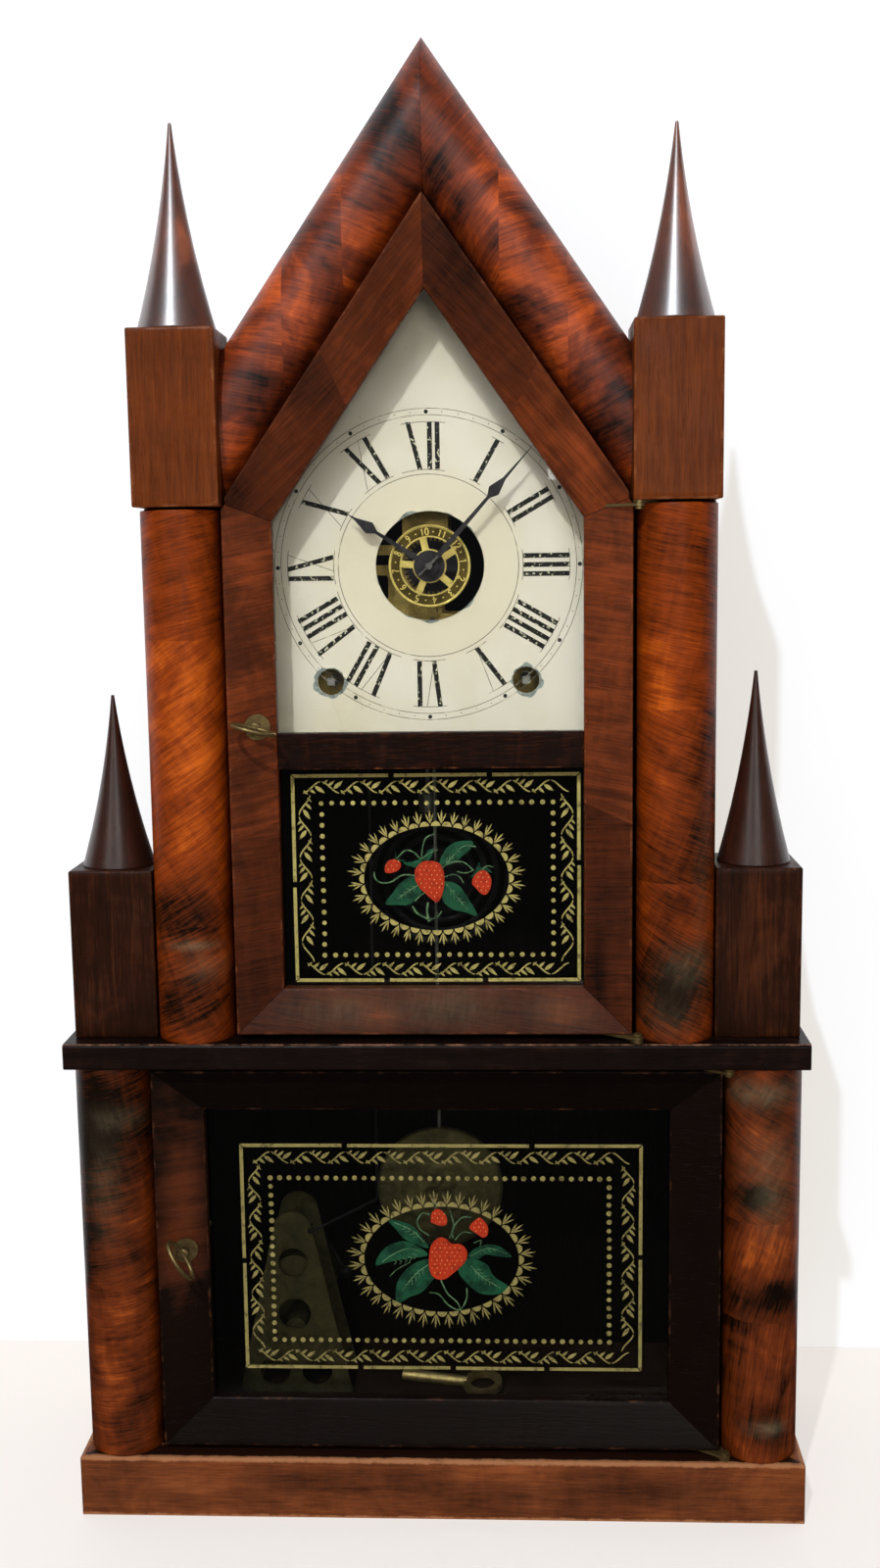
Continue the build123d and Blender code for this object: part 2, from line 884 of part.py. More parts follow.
def latch(x, z, stile_width, tilt):
    """A bow with its collar and shaft, and the catch that turns in behind the front frame."""
    fall = door_bevel / stile_width
    plate_front = door_front + fall * (latch_inset - escutcheon_radius) - escutcheon_thick
    collar_back = plate_front - latch_collar_back
    collar_front = collar_back - latch_collar_front
    across = (-cos(radians(tilt)), 0, sin(radians(tilt)))
    bow_y = collar_front - bow_half_depth + bow_bar / 2
    catch_front = frame_back_y + play
    with BuildPart() as piece:
        with BuildSketch(facing(catch_front + catch_thick)):
            with Locations((x, z)):
                Circle(latch_shaft_radius)
        extrude(amount=catch_front + catch_thick - collar_back)
        with BuildSketch(facing(collar_back)):
            with Locations((x, z)):
                Circle(latch_collar_radius)
        extrude(amount=latch_collar_front)
        with BuildSketch(Plane(origin=(x, bow_y, z), x_dir=across, z_dir=(-across[2], 0, across[0]))):
            Ellipse(bow_half_width, bow_half_depth)
            Ellipse(bow_half_width - bow_bar, bow_half_depth - bow_bar, mode=Mode.SUBTRACT)
        extrude(amount=bow_thick / 2, both=True)
        with BuildSketch(facing(catch_front + catch_thick)):
            with Locations((x, z)):
                Circle(latch_collar_radius)
            with Locations((x + catch_reach * sin(radians(tilt)), z + catch_reach * cos(radians(tilt)))):
                Circle(catch_radius)
            make_hull()
        extrude(amount=catch_thick)
    return piece.part


save(escutcheon(upper_latch_x, upper_latch_z, upper_stile_width), "upper_latch_plate")
save(escutcheon(lower_latch_x, lower_latch_z, lower_stile_width), "lower_latch_plate")
save(latch(upper_latch_x, upper_latch_z, upper_stile_width, upper_bow_tilt), "upper_latch")
save(latch(lower_latch_x, lower_latch_z, lower_stile_width, lower_bow_tilt), "lower_latch")

# Dial

with BuildPart() as dial:
    with BuildSketch(facing(dial_front + dial_thick)):
        with BuildLine():
            Polyline(*house(dial_half, dial_bottom, dial_inset), close=True)
        make_face()
        with Locations((0, dial_centre_height)):
            Circle(dial_hole_radius, mode=Mode.SUBTRACT)
        with Locations((time_arbor_x, winding_height), (strike_arbor_x, winding_height)):
            Circle(winding_hole_radius, mode=Mode.SUBTRACT)
    extrude(amount=dial_thick)
save(dial.part, "dial")

# Movement frame

pillar_heights = (
    dial_centre_height + plate_rise - pillar_inset,
    dial_centre_height - plate_fall + pillar_inset,
)
pillar_places = [
    (side * (plate_width / 2 - pillar_inset), height) for side in (-1, 1) for height in pillar_heights
]
arbor_places = [
    ((0, dial_centre_height), arbor_radius),
    ((time_arbor_x, winding_height), winding_arbor_radius),
    ((strike_arbor_x, winding_height), winding_arbor_radius),
    ((0, escape_height), escape_arbor_radius),
    ((hammer_x, hammer_height), arbor_radius),
]


plate_windows = [
    ((-plate_window_side, edge), span) for edge, span in zip(left_window_edges, left_window_spans)
] + [
    ((edge, plate_window_side), span) for edge, span in zip(right_window_edges, right_window_spans)
]


def movement_plate(front, extra_holes, pillar_holes):
    """A brass plate with round corners, windows that leave straps, and a hole for each arbor."""
    with BuildPart() as plate:
        with BuildSketch(facing(front + plate_thick)):
            with Locations((0, dial_centre_height + (plate_rise - plate_fall) / 2)):
                RectangleRounded(plate_width, plate_rise + plate_fall, plate_corner)
            for (low_x, high_x), (low_z, high_z) in plate_windows:
                with Locations(((low_x + high_x) / 2, dial_centre_height + (low_z + high_z) / 2)):
                    RectangleRounded(
                        high_x - low_x, high_z - low_z, plate_window_round, mode=Mode.SUBTRACT
                    )
            for place, radius in arbor_places + extra_holes:
                with Locations(place):
                    Circle(radius + bearing_play, mode=Mode.SUBTRACT)
            if pillar_holes:
                with Locations(*pillar_places):
                    Circle(pillar_radius, mode=Mode.SUBTRACT)
        extrude(amount=plate_thick)
    return plate.part


stud_height = verge_height + rod_radius * 2 + play + stud_radius
with BuildPart() as front_plate:
    add(movement_plate(front_plate_front, [((0, verge_height), verge_arbor_radius)], False))
    with BuildSketch(facing(front_plate_front)):
        with Locations((0, stud_height)):
            Circle(stud_radius)
    extrude(amount=front_plate_front - pendulum_y + rod_radius)
save(front_plate.part, "front_plate")
save(movement_plate(back_plate_front, [], True), "back_plate")
save(group([
    rod(place[0], place[1], pillar_radius, front_plate_back, inner_back_y) for place in pillar_places
]), "plate_pillars")


def toothed_wheel(x, z, front, radius, teeth, bore, holes, saw):
    """A thin wheel: teeth around its rim, round crossings, and an optional bore."""
    step = 2 * pi / teeth
    tooth_points = (
        (0, 0), (tooth_rise_share, 1), (tooth_top_share, 1), (tooth_fall_share, 0),
    )
    shares = ((0, 0), (tooth_fall_share, 1)) if saw else tooth_points
    outline = []
    for tooth in range(teeth):
        for turn_share, rise_share in shares:
            reach = radius - tooth_depth * (1 - rise_share)
            angle = step * (tooth + turn_share)
            outline.append((x + reach * sin(angle), z + reach * cos(angle)))
    with BuildPart() as wheel:
        with BuildSketch(facing(front + wheel_thick)):
            with BuildLine():
                Polyline(*outline, close=True)
            make_face()
            if holes:
                with Locations((x, z)):
                    with PolarLocations(radius * crossing_place_share, holes):
                        Circle(radius * crossing_radius_share, mode=Mode.SUBTRACT)
            if bore:
                with Locations((x, z)):
                    Circle(bore, mode=Mode.SUBTRACT)
        extrude(amount=wheel_thick)
    return wheel.part


pin_y = minute_front - taper_pin_radius - play
centre_wheel_front = back_plate_front - plate_space / 3
with BuildPart() as centre_arbor:
    add(rod(0, dial_centre_height, arbor_radius, pin_y - arbor_radius, back_plate_back))
    add(toothed_wheel(
        0, dial_centre_height, centre_wheel_front, centre_wheel_radius, centre_wheel_teeth,
        0, centre_crossings, False,
    ))
    with BuildSketch(Plane(
        origin=(0, pin_y, dial_centre_height), x_dir=(0, 1, 0), z_dir=(1, 0, 1)
    )):
        Circle(taper_pin_radius)
    extrude(amount=taper_pin_length / 2, both=True, mode=Mode.SUBTRACT)
with BuildPart() as taper_pin:
    with BuildSketch(Plane(
        origin=(0, pin_y, dial_centre_height), x_dir=(0, 1, 0), z_dir=(1, 0, 1)
    )):
        Circle(taper_pin_radius)
    extrude(amount=taper_pin_length / 2, both=True)
save(group([centre_arbor.part, taper_pin.part]), "centre_arbor")


def winding_arbor(x):
    """A winding arbor: square end in the dial's hole, great wheel and ratchet wheel."""
    great_front = front_plate_back + plate_space / 5
    with BuildPart() as arbor:
        add(rod(x, winding_height, winding_arbor_radius, front_plate_front, back_plate_back))
        add(toothed_wheel(
            x, winding_height, great_front, great_wheel_radius, great_wheel_teeth,
            0, great_crossings, False,
        ))
        add(toothed_wheel(
            x, winding_height, great_front + wheel_thick, ratchet_radius, ratchet_teeth, 0, 0, True
        ))
        with BuildSketch(facing(front_plate_front)):
            with Locations((x, winding_height)):
                Rectangle(winding_square, winding_square)
        extrude(amount=front_plate_front - dial_front - dial_thick)
    return arbor.part


save(winding_arbor(time_arbor_x), "time_winding_arbor")
save(winding_arbor(strike_arbor_x), "strike_winding_arbor")

# Escapement

escape_front = front_plate_front - escape_proud
with BuildPart() as escape_wheel:
    add(rod(0, escape_height, escape_arbor_radius, escape_front - wheel_thick / 3, back_plate_back))
    add(toothed_wheel(
        0, escape_height, escape_front, escape_radius, escape_teeth, 0, escape_crossings, True
    ))
save(escape_wheel.part, "escape_wheel")

pallet_reach = sqrt((escape_radius + pallet_gap) ** 2 - pallet_half_span ** 2)
pallet_tip = escape_height + pallet_reach
crutch_y = pendulum_y + rod_radius + play + 2 * crutch_wire
fork_half = rod_radius + play + crutch_wire
with BuildPart() as verge:
    add(rod(0, verge_height, verge_arbor_radius, crutch_y - crutch_wire, front_plate_back))
    with BuildSketch(facing(escape_front + wheel_thick)):
        with BuildLine():
            Polyline(
                (-pallet_half_span, pallet_tip), (0, verge_height - strip_thick),
                (pallet_half_span, pallet_tip),
                (pallet_half_span + strip_thick, pallet_tip + strip_thick),
                (0, verge_height + verge_arbor_radius),
                (-pallet_half_span - strip_thick, pallet_tip + strip_thick),
                close=True,
            )
        make_face()
    extrude(amount=wheel_thick)
    with BuildSketch(Plane.XY.offset(verge_height - crutch_length)):
        with Locations((0, crutch_y)):
            Circle(crutch_wire)
    extrude(amount=crutch_length)
    with BuildSketch(Plane.XY.offset(verge_height - crutch_length)):
        with Locations((0, crutch_y)):
            Rectangle(2 * fork_half + 2 * crutch_wire, 2 * crutch_wire)
        with Locations((-fork_half, pendulum_y), (fork_half, pendulum_y)):
            Rectangle(2 * crutch_wire, 2 * (crutch_y - pendulum_y))
    extrude(amount=2 * crutch_wire)
save(verge.part, "verge")

bob_height = plinth_height + bob_rise_share * lower_height
seat_height = bob_height + bob_radius - rod_seat
with BuildPart() as pendulum_rod:
    with BuildSketch(Plane.XY.offset(seat_height)):
        with Locations((0, pendulum_y)):
            Circle(rod_radius)
    extrude(amount=verge_height - seat_height)
    add(rod(0, verge_height, 2 * rod_radius, pendulum_y - rod_radius, pendulum_y + rod_radius))
save(pendulum_rod.part, "pendulum_rod")


def cap_radius(half, rise):
    """The radius of a round cap that is twice half wide and rises by rise."""
    return (half ** 2 + rise ** 2) / (2 * rise)


half_thick = bob_thick / 2
half_rim = bob_rim / 2
lens_radius = cap_radius(bob_radius, half_thick - half_rim)
with BuildPart() as pendulum_bob:
    with BuildSketch(Plane(origin=(0, pendulum_y, bob_height), x_dir=(1, 0, 0), z_dir=(0, 0, 1))):
        with BuildLine():
            RadiusArc((0, -half_thick), (bob_radius, -half_rim), -lens_radius)
            Line((bob_radius, -half_rim), (bob_radius, half_rim))
            RadiusArc((bob_radius, half_rim), (0, half_thick), -lens_radius)
            Line((0, half_thick), (0, -half_thick))
        make_face()
    revolve(axis=Axis((0, pendulum_y, bob_height), (0, 1, 0)))
    with BuildSketch(Plane.XY.offset(seat_height)):
        with Locations((0, pendulum_y)):
            Circle(rod_radius)
    extrude(amount=rod_seat + overrun, mode=Mode.SUBTRACT)
save(pendulum_bob.part, "pendulum_bob")

# Hands and alarm disc


def clock_plane(y, angle):
    """An upright plane at the dial's centre, whose y points to an angle from twelve, clockwise."""
    turn = radians(angle)
    return Plane(origin=(0, y, dial_centre_height), x_dir=(cos(turn), 0, -sin(turn)), z_dir=(0, -1, 0))


def hand_sketch(length, leaf_share, boss_radius):
    """A slender hand with a pointed leaf and a round boss."""
    leaf = length * leaf_share
    left = [
        (-hand_root_width / 2, 0), (-hand_neck_width / 2, leaf - leaf_heel),
        (-hand_leaf_width / 2, leaf), (-hand_neck_width / 2, leaf + leaf_point),
    ]
    Polygon(*left, (0, length), *[(-x, y) for x, y in reversed(left)], align=None)
    Circle(boss_radius)


with BuildPart() as minute_hand:
    with BuildSketch(clock_plane(minute_front + hand_thick, minute_angle)):
        hand_sketch(minute_length, minute_leaf_share, minute_boss_radius)
        Circle(arbor_radius, mode=Mode.SUBTRACT)
    extrude(amount=hand_thick)
save(minute_hand.part, "minute_hand")

with BuildPart() as hour_hand:
    with BuildSketch(clock_plane(hour_front + hand_thick, hour_angle)):
        hand_sketch(hour_length, hour_leaf_share, hour_boss_radius)
    extrude(amount=hand_thick)
    add(rod(0, dial_centre_height, hour_pipe_radius, hour_front, front_plate_front - play))
    add(toothed_wheel(
        0, dial_centre_height, front_plate_front - 2 * wheel_thick,
        hour_wheel_radius, hour_wheel_teeth, 0, 0, False,
    ))
    with BuildSketch(facing(front_plate_front)):
        with Locations((0, dial_centre_height)):
            Circle(arbor_radius + bearing_play)
    extrude(amount=front_plate_front - hour_front + overrun, mode=Mode.SUBTRACT)
save(hour_hand.part, "hour_hand")

with BuildPart() as alarm_disc:
    with BuildSketch(facing(alarm_disc_front + alarm_disc_thick)):
        with Locations((0, dial_centre_height)):
            Circle(alarm_disc_radius)
            Circle(alarm_disc_radius - alarm_ring_width, mode=Mode.SUBTRACT)
            with PolarLocations(
                alarm_disc_radius / 2, alarm_spokes, start_angle=degrees(pi / 2) + alarm_disc_turn
            ):
                Rectangle(alarm_disc_radius - alarm_ring_width / 2, alarm_spoke_width)
            Circle(alarm_hub_radius)
            Circle(hour_pipe_radius + bearing_play, mode=Mode.SUBTRACT)
    extrude(amount=alarm_disc_thick)
save(alarm_disc.part, "alarm_disc")

# Gong


def gong_path():
    """Half turns that widen by half a pitch each, after a straight start and a quarter turn."""
    lead = gong_wire
    corner = gong_first_radius - gong_boss_radius - lead
    base_z = gong_height + corner
    start = (gong_x + gong_boss_radius, gong_height)
    bend = (start[0] + lead, gong_height)
    spans = [("line", start, bend)]
    spans.append(("arc", bend, (bend[0] + corner * sin(pi / 4), gong_height + corner * (1 - cos(pi / 4))),
                  (bend[0] + corner, base_z)))
    x = bend[0] + corner
    for half in range(gong_half_turns):
        radius = gong_first_radius + half * gong_pitch / 2
        way = 1 if half % 2 == 0 else -1
        far_x = x - 2 * way * radius
        spans.append(("arc", (x, base_z), (x - way * radius, base_z + way * radius), (far_x, base_z)))
        x = far_x
    way = 1 if gong_half_turns % 2 == 0 else -1
    spans.append(("line", (x, base_z), (x, base_z + way * lead)))
    return spans


def gong_gap():
    """The least gap between turns, from points along the half turns."""
    points = []
    travelled = 0.0
    for kind, *span in gong_path():
        if kind != "arc":
            continue
        (ax, az), (mx, mz), (bx, bz) = span
        centre = ((ax + bx) / 2, (az + bz) / 2)
        radius = hypot(ax - bx, az - bz) / 2
        if abs(hypot(mx - centre[0], mz - centre[1]) - radius) > play:
            continue
        way = 1 if mz > centre[1] else -1
        first = 0 if ax > centre[0] else pi
        for step in range(gong_gap_steps):
            turn = first + pi * step / gong_gap_steps
            points.append((
                travelled + radius * pi * step / gong_gap_steps,
                centre[0] + radius * cos(turn),
                centre[1] + radius * sin(turn),
            ))
        travelled += pi * radius
    least = min(
        hypot(a[1] - b[1], a[2] - b[2])
        for index, a in enumerate(points) for b in points[index + 1:]
        if b[0] - a[0] > gong_first_radius * pi / 2
    )
    return least - gong_wire


with BuildPart() as gong:
    with BuildLine(facing(gong_y)):
        for kind, *span in gong_path():
            if kind == "line":
                Line(*span)
            else:
                ThreePointArc(*span)
    with BuildSketch(Plane(
        origin=(gong_x + gong_boss_radius, gong_y, gong_height), x_dir=(0, 1, 0), z_dir=(1, 0, 0)
    )):
        Circle(gong_wire / 2)
    sweep()
save(gong.part, "gong")
print("least gap between the gong's turns", round(gong_gap(), 2), "mm")

with BuildPart() as gong_base:
    add(rod(gong_x, gong_height, gong_plate_radius, inner_back_y - gong_plate_thick, inner_back_y))
    with Locations((gong_x, (gong_y + inner_back_y) / 2 - gong_wire, gong_height)):
        Box(2 * gong_boss_radius, inner_back_y - gong_y + 2 * gong_wire, 2 * gong_boss_radius)
save(gong_base.part, "gong_base")

gong_top = gong_height + gong_first_radius - gong_boss_radius - gong_wire
gong_reach = gong_first_radius + (gong_half_turns - 2) * gong_pitch / 2 + gong_wire / 2
head_bottom = gong_top + gong_reach + hammer_gap
with BuildPart() as strike_hammer:
    add(rod(hammer_x, hammer_height, arbor_radius, front_plate_front, gong_y + 2 * hammer_wire))
    with BuildSketch(Plane.XY.offset(head_bottom)):
        with Locations((hammer_x, gong_y)):
            Circle(hammer_head_radius)
    extrude(amount=hammer_head_length)
    with BuildSketch(Plane.XY.offset(head_bottom + hammer_head_length)):
        with Locations((hammer_x, gong_y)):
            Circle(hammer_wire)
    extrude(amount=hammer_height - head_bottom - hammer_head_length)
save(strike_hammer.part, "strike_hammer")

# Alarm

def alarm_plate(front, holes):
    """A tapered plate with a round top, standing on the base board."""
    with BuildPart() as plate:
        with BuildSketch(facing(front + plate_thick)):
            with Locations((alarm_x, alarm_top - alarm_top_radius)):
                Circle(alarm_top_radius)
            with Locations(
                (alarm_x - alarm_foot_half + plate_thick, plinth_height + plate_thick),
                (alarm_x + alarm_foot_half - plate_thick, plinth_height + plate_thick),
            ):
                Circle(plate_thick)
            make_hull()
            for height, radius in holes:
                with Locations((alarm_x, height)):
                    Circle(radius, mode=Mode.SUBTRACT)
            if len(holes) > 1:
                with Locations(
                    (alarm_x - alarm_foot_hole_half, alarm_foot_hole_height),
                    (alarm_x + alarm_foot_hole_half, alarm_foot_hole_height),
                ):
                    Circle(alarm_foot_hole_radius, mode=Mode.SUBTRACT)
        extrude(amount=plate_thick)
    return plate.part


with BuildPart() as alarm_back_plate:
    add(alarm_plate(alarm_rear, []))
    with BuildSketch(facing(alarm_rear + plate_thick)):
        with Locations((alarm_hammer_x, alarm_hammer_height)):
            Circle(verge_arbor_radius + bearing_play)
    extrude(amount=plate_thick, mode=Mode.SUBTRACT)
alarm_pillars = [
    rod(x, z, alarm_pillar_radius, alarm_plate_back, alarm_rear)
    for x, z in (
        (alarm_x, alarm_top - alarm_top_radius),
        (alarm_x - alarm_foot_half + 3 * alarm_pillar_radius, plinth_height + 2 * alarm_pillar_radius),
        (alarm_x + alarm_foot_half - 3 * alarm_pillar_radius, plinth_height + 2 * alarm_pillar_radius),
    )
]
alarm_turning = [
    rod(alarm_x, height, radius, alarm_plate_back + overrun, alarm_rear)
    for height, radius in (
        (alarm_drum_height, alarm_drum_radius), (alarm_arbor_height, alarm_arbor_radius)
    )
]
alarm_front_plate = alarm_plate(alarm_front, list(zip(alarm_hole_heights, alarm_hole_radii)))
save(group([alarm_front_plate, alarm_back_plate.part] + alarm_turning + alarm_pillars), "alarm_movement")

bell_front = alarm_rear + plate_thick + bell_gap_share * bell_room
bell_inner = bell_radius - bell_wall
with BuildPart() as alarm_bell:
    bell_plane = Plane(origin=(alarm_x, bell_front, bell_height), x_dir=(1, 0, 0), z_dir=(0, 0, 1))
    with BuildSketch(bell_plane):
        with BuildLine():
            RadiusArc((0, 0), (bell_radius, bell_depth), -cap_radius(bell_radius, bell_depth))
            Line((bell_radius, bell_depth), (bell_inner, bell_depth))
            RadiusArc(
                (bell_inner, bell_depth), (0, bell_wall), cap_radius(bell_inner, bell_depth - bell_wall)
            )
            Line((0, bell_wall), (0, 0))
        make_face()
    revolve(axis=Axis((alarm_x, bell_front, bell_height), (0, 1, 0)))
    add(rod(alarm_x, bell_height, bell_post_radius, bell_front + bell_wall / 2, inner_back_y))
save(alarm_bell.part, "alarm_bell")

strike_x = alarm_x + bell_radius + alarm_hammer_gap + alarm_hammer_radius
hammer_y = bell_front + bell_depth / 2
with BuildPart() as alarm_hammer:
    add(rod(alarm_hammer_x, alarm_hammer_height, verge_arbor_radius, alarm_rear, hammer_y + 2 * crutch_wire))
    with Locations((strike_x, hammer_y, bell_height)):
        Sphere(alarm_hammer_radius)
    with BuildLine():
        Line((alarm_hammer_x, hammer_y, alarm_hammer_height), (strike_x, hammer_y, bell_height))
    arm_run = Vector(strike_x - alarm_hammer_x, 0, bell_height - alarm_hammer_height)
    with BuildSketch(Plane(origin=(alarm_hammer_x, hammer_y, alarm_hammer_height), z_dir=arm_run)):
        Circle(crutch_wire + crutch_wire / 2)
    extrude(amount=arm_run.length)
save(alarm_hammer.part, "alarm_hammer")

# Trip wire

wire_top = verge_height + 2 * stud_radius
wire_end = (alarm_x + alarm_top_radius - 2 * trip_wire_radius, alarm_top - alarm_top_radius)
wire_route = [
    (trip_wire_x, front_plate_front, wire_top),
    (trip_wire_x, trip_wire_y, wire_top),
    (trip_wire_x, trip_wire_y, trip_wire_knee),
    (wire_end[0], trip_wire_y, wire_end[1]),
    (wire_end[0], alarm_front, wire_end[1]),
]
with BuildPart() as alarm_trip_wire:
    with BuildLine():
        FilletPolyline(*wire_route, radius=trip_wire_bend)
    with BuildSketch(Plane(origin=wire_route[0], z_dir=(0, -1, 0))):
        Circle(trip_wire_radius)
    sweep()
save(alarm_trip_wire.part, "alarm_trip_wire")

# Winding key

key_frame = Plane(
    origin=(key_start[0], key_start[1], plinth_height + key_shank_radius), x_dir=(0, 0, 1),
    z_dir=(cos(radians(key_turn)), sin(radians(key_turn)), 0),
)
key_across = Vector(-sin(radians(key_turn)), cos(radians(key_turn)), 0)
key_along = Vector(cos(radians(key_turn)), sin(radians(key_turn)), 0)
bow_centre = Vector(key_start[0], key_start[1], plinth_height + key_shank_radius) + key_along * (
    key_shank_length + key_bow_half - key_bow_bar / 2
)
with BuildPart() as winding_key:
    with BuildSketch(key_frame):
        Circle(key_shank_radius)
    extrude(amount=key_shank_length)
    with BuildSketch(key_frame):
        Rectangle(winding_square, winding_square)
    extrude(amount=key_shank_length / 2, mode=Mode.SUBTRACT)
    with BuildSketch(Plane(origin=bow_centre, x_dir=key_along, z_dir=(0, 0, 1))):
        Ellipse(key_bow_half, key_bow_half + key_bow_bar / 2)
        Ellipse(key_bow_half - key_bow_bar, key_bow_half - key_bow_bar / 2, mode=Mode.SUBTRACT)
    extrude(amount=key_thick / 2, both=True)
save(winding_key.part, "winding_key")
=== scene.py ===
"""Looks of a double steeple clock: veneers, painted glass, dial, brass, steel and studio.

Lengths are in millimetres until a mesh is made, and metres after that.
"""
from math import cos, pi, radians, sin, tan

import bpy
import numpy as np
from mathutils import Matrix, Vector


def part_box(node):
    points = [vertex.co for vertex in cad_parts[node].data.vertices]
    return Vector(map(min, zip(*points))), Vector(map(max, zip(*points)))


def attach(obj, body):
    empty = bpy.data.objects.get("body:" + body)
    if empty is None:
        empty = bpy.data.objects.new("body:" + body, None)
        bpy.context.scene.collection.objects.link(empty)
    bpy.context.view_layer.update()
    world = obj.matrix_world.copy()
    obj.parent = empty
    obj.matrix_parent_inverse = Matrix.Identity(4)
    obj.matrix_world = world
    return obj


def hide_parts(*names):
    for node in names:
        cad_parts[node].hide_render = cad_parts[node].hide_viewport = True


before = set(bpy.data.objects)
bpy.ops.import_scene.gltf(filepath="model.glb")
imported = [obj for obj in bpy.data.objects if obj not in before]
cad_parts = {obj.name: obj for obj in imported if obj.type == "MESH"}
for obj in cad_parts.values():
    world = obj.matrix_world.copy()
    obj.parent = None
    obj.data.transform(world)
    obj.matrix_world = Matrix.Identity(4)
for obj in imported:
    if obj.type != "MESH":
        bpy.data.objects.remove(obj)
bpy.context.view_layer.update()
scene = bpy.context.scene
MM = 0.001

# Sizes of the case, as the solids have them
FACE_Y, FRONT_Y, REAR_Y = -36.0, -60.0, 60.0
PLINTH_HALF, PLINTH_TOP, PLINTH_BOARD = 167.0, 29.3, 12.0
SHELF_BOTTOM, SHELF_TOP = 215.3, 227.1
UPPER_HALF, BLOCK_BASE, COLUMN_TOP = 125.2, 463.5, 462.3
BLOCK_INNER, BLOCK_TOP, BLOCK_BACK = 87.8, 537.9, -25.0
LOW_BLOCK_HALF, LOW_BLOCK_TOP, LOW_BLOCK_FRONT, LOW_BLOCK_BACK = 163.0, 303.8, -49.4, -11.4
APEX, MOULDING_WIDTH, MOULDING_DEPTH = 657.07, 36.6, 16.5
SLOPE, LEAN = tan(radians(55.1)), 1 / cos(radians(55.1))
COLUMN_RADIUS, COLUMN_FLANK = 17.5, 6.5
DOOR_FRONT, DOOR_BACK, SIGHT_FRONT, REBATE_FRONT = -54.0, -36.3, -47.0, -41.5
LIP, SIGHT_HALF, MID_LOW, MID_HIGH = 4.0, 67.5, 348.5, 364.7
SHOULDER_HALF, SHOULDER_LEDGE = 86.2, 462.1
DIAL_FRONT, DIAL_CENTRE = -24.8, 436.9
TABLET_BACK = -39.45
PAINT = 0.04  # thickness of the dial's print

# Grids and meshes


def numbers(values):
    """The values as an array of numbers."""
    return np.asarray(values, float)


def unit(vectors):
    """Vectors brought to length one."""
    return vectors / np.linalg.norm(vectors, axis=-1, keepdims=True)


def whole_turn(count):
    """Angles spread evenly round a circle."""
    return np.linspace(0, 2 * pi, count, endpoint=False)


def ray(angle):
    """The point at an angle on the circle of radius one."""
    return np.stack([np.cos(angle), np.sin(angle)], -1)


def grid_faces(rows, cols, ring=False, caps=True):
    """Quads of a grid of closed rows: its first and last rows are joined as a ring, or capped."""
    a, b = np.meshgrid(np.arange(rows if ring else rows - 1), np.arange(cols), indexing="ij")
    up, on = (a + 1) % rows, (b + 1) % cols
    quads = np.stack([a * cols + b, a * cols + on, up * cols + on, up * cols + b], -1)
    faces = quads.reshape(-1, 4).tolist()
    if caps and not ring:
        faces += [list(range(cols))[::-1], list(range((rows - 1) * cols, rows * cols))]
    return faces


def shell(points, faces, marks=None):
    """Points, their faces, reversed if the enclosed volume is negative, and marks on the points."""
    points = numbers(points).reshape(-1, 3)
    volume = sum(np.dot(points[f[0]], np.cross(points[f[i]], points[f[i + 1]]))
                 for f in faces for i in range(1, len(f) - 1))
    return points, [f[::-1] for f in faces] if volume < 0 else faces, marks or {}


def new_piece(name, shells, material, body, replaces=(), smooth=True):
    """One object from several shells; their marks are values that a material reads."""
    faces, marks, count = [], {}, 0
    for points, own_faces, own_marks in shells:
        faces += [[i + count for i in f] for f in own_faces]
        for key, values in own_marks.items():
            marks.setdefault(key, []).append((count, numbers(values)))
        count += len(points)
    mesh = bpy.data.meshes.new(name)
    mesh.from_pydata((np.concatenate([made[0] for made in shells]) * MM).tolist(), [], faces)
    for key, runs in marks.items():
        wide = runs[0][1].ndim == 2
        data = np.zeros((count, 3) if wide else count)
        for start, values in runs:
            data[start:start + len(values)] = values
        layer = mesh.attributes.new(key, "FLOAT_VECTOR" if wide else "FLOAT", "POINT")
        layer.data.foreach_set("vector" if wide else "value", data.ravel())
    mesh.polygons.foreach_set("use_smooth", [smooth] * len(mesh.polygons))
    mesh.materials.append(material)
    mesh.validate()
    mesh.update()
    piece = bpy.data.objects.new(name, mesh)
    scene.collection.objects.link(piece)
    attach(piece, body)
    if replaces:
        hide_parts(*replaces)
    return piece


def twice_area(loop):
    """Twice the signed area inside an outline."""
    x, y = loop.T
    return np.sum(x * np.roll(y, -1) - np.roll(x, -1) * y)


def rounded_loop(corners, radius, step, wear=3.0):
    """A closed outline with each corner a small curve, and points at most a step apart between.

    A corner's curve is quadratic: its ends lie one radius from the corner along both sides.
    Returns the points and a mark that is one on outer corners and nought elsewhere.
    """
    corners = numbers(corners)
    count = len(corners)
    radii = np.broadcast_to(radius, (count,))
    points, marks = [], []
    t = np.linspace(0, 1, 5)[:, None]
    for i, here in enumerate(corners):
        after = corners[(i + 1) % count]
        d1, d2 = unit(corners[i - 1] - here), unit(after - here)
        t1, t2 = here + d1 * radii[i], here + d2 * radii[i]
        outer = np.sign(d2[0] * d1[1] - d2[1] * d1[0]) == np.sign(twice_area(corners))
        run = np.linalg.norm(after - d2 * radii[(i + 1) % count] - t2)
        inner = np.array([run / 2])
        if run > 2.2 * wear:
            inner = np.linspace(wear, run - wear, max(2, int((run - 2 * wear) / step) + 1))
        points += [(1 - t) ** 2 * t1 + 2 * t * (1 - t) * here + t ** 2 * t2, t2 + d2 * inner[:, None]]
        marks += [outer * 1.0] * len(t) + [0.0] * len(inner)
    return np.concatenate(points), numbers(marks)


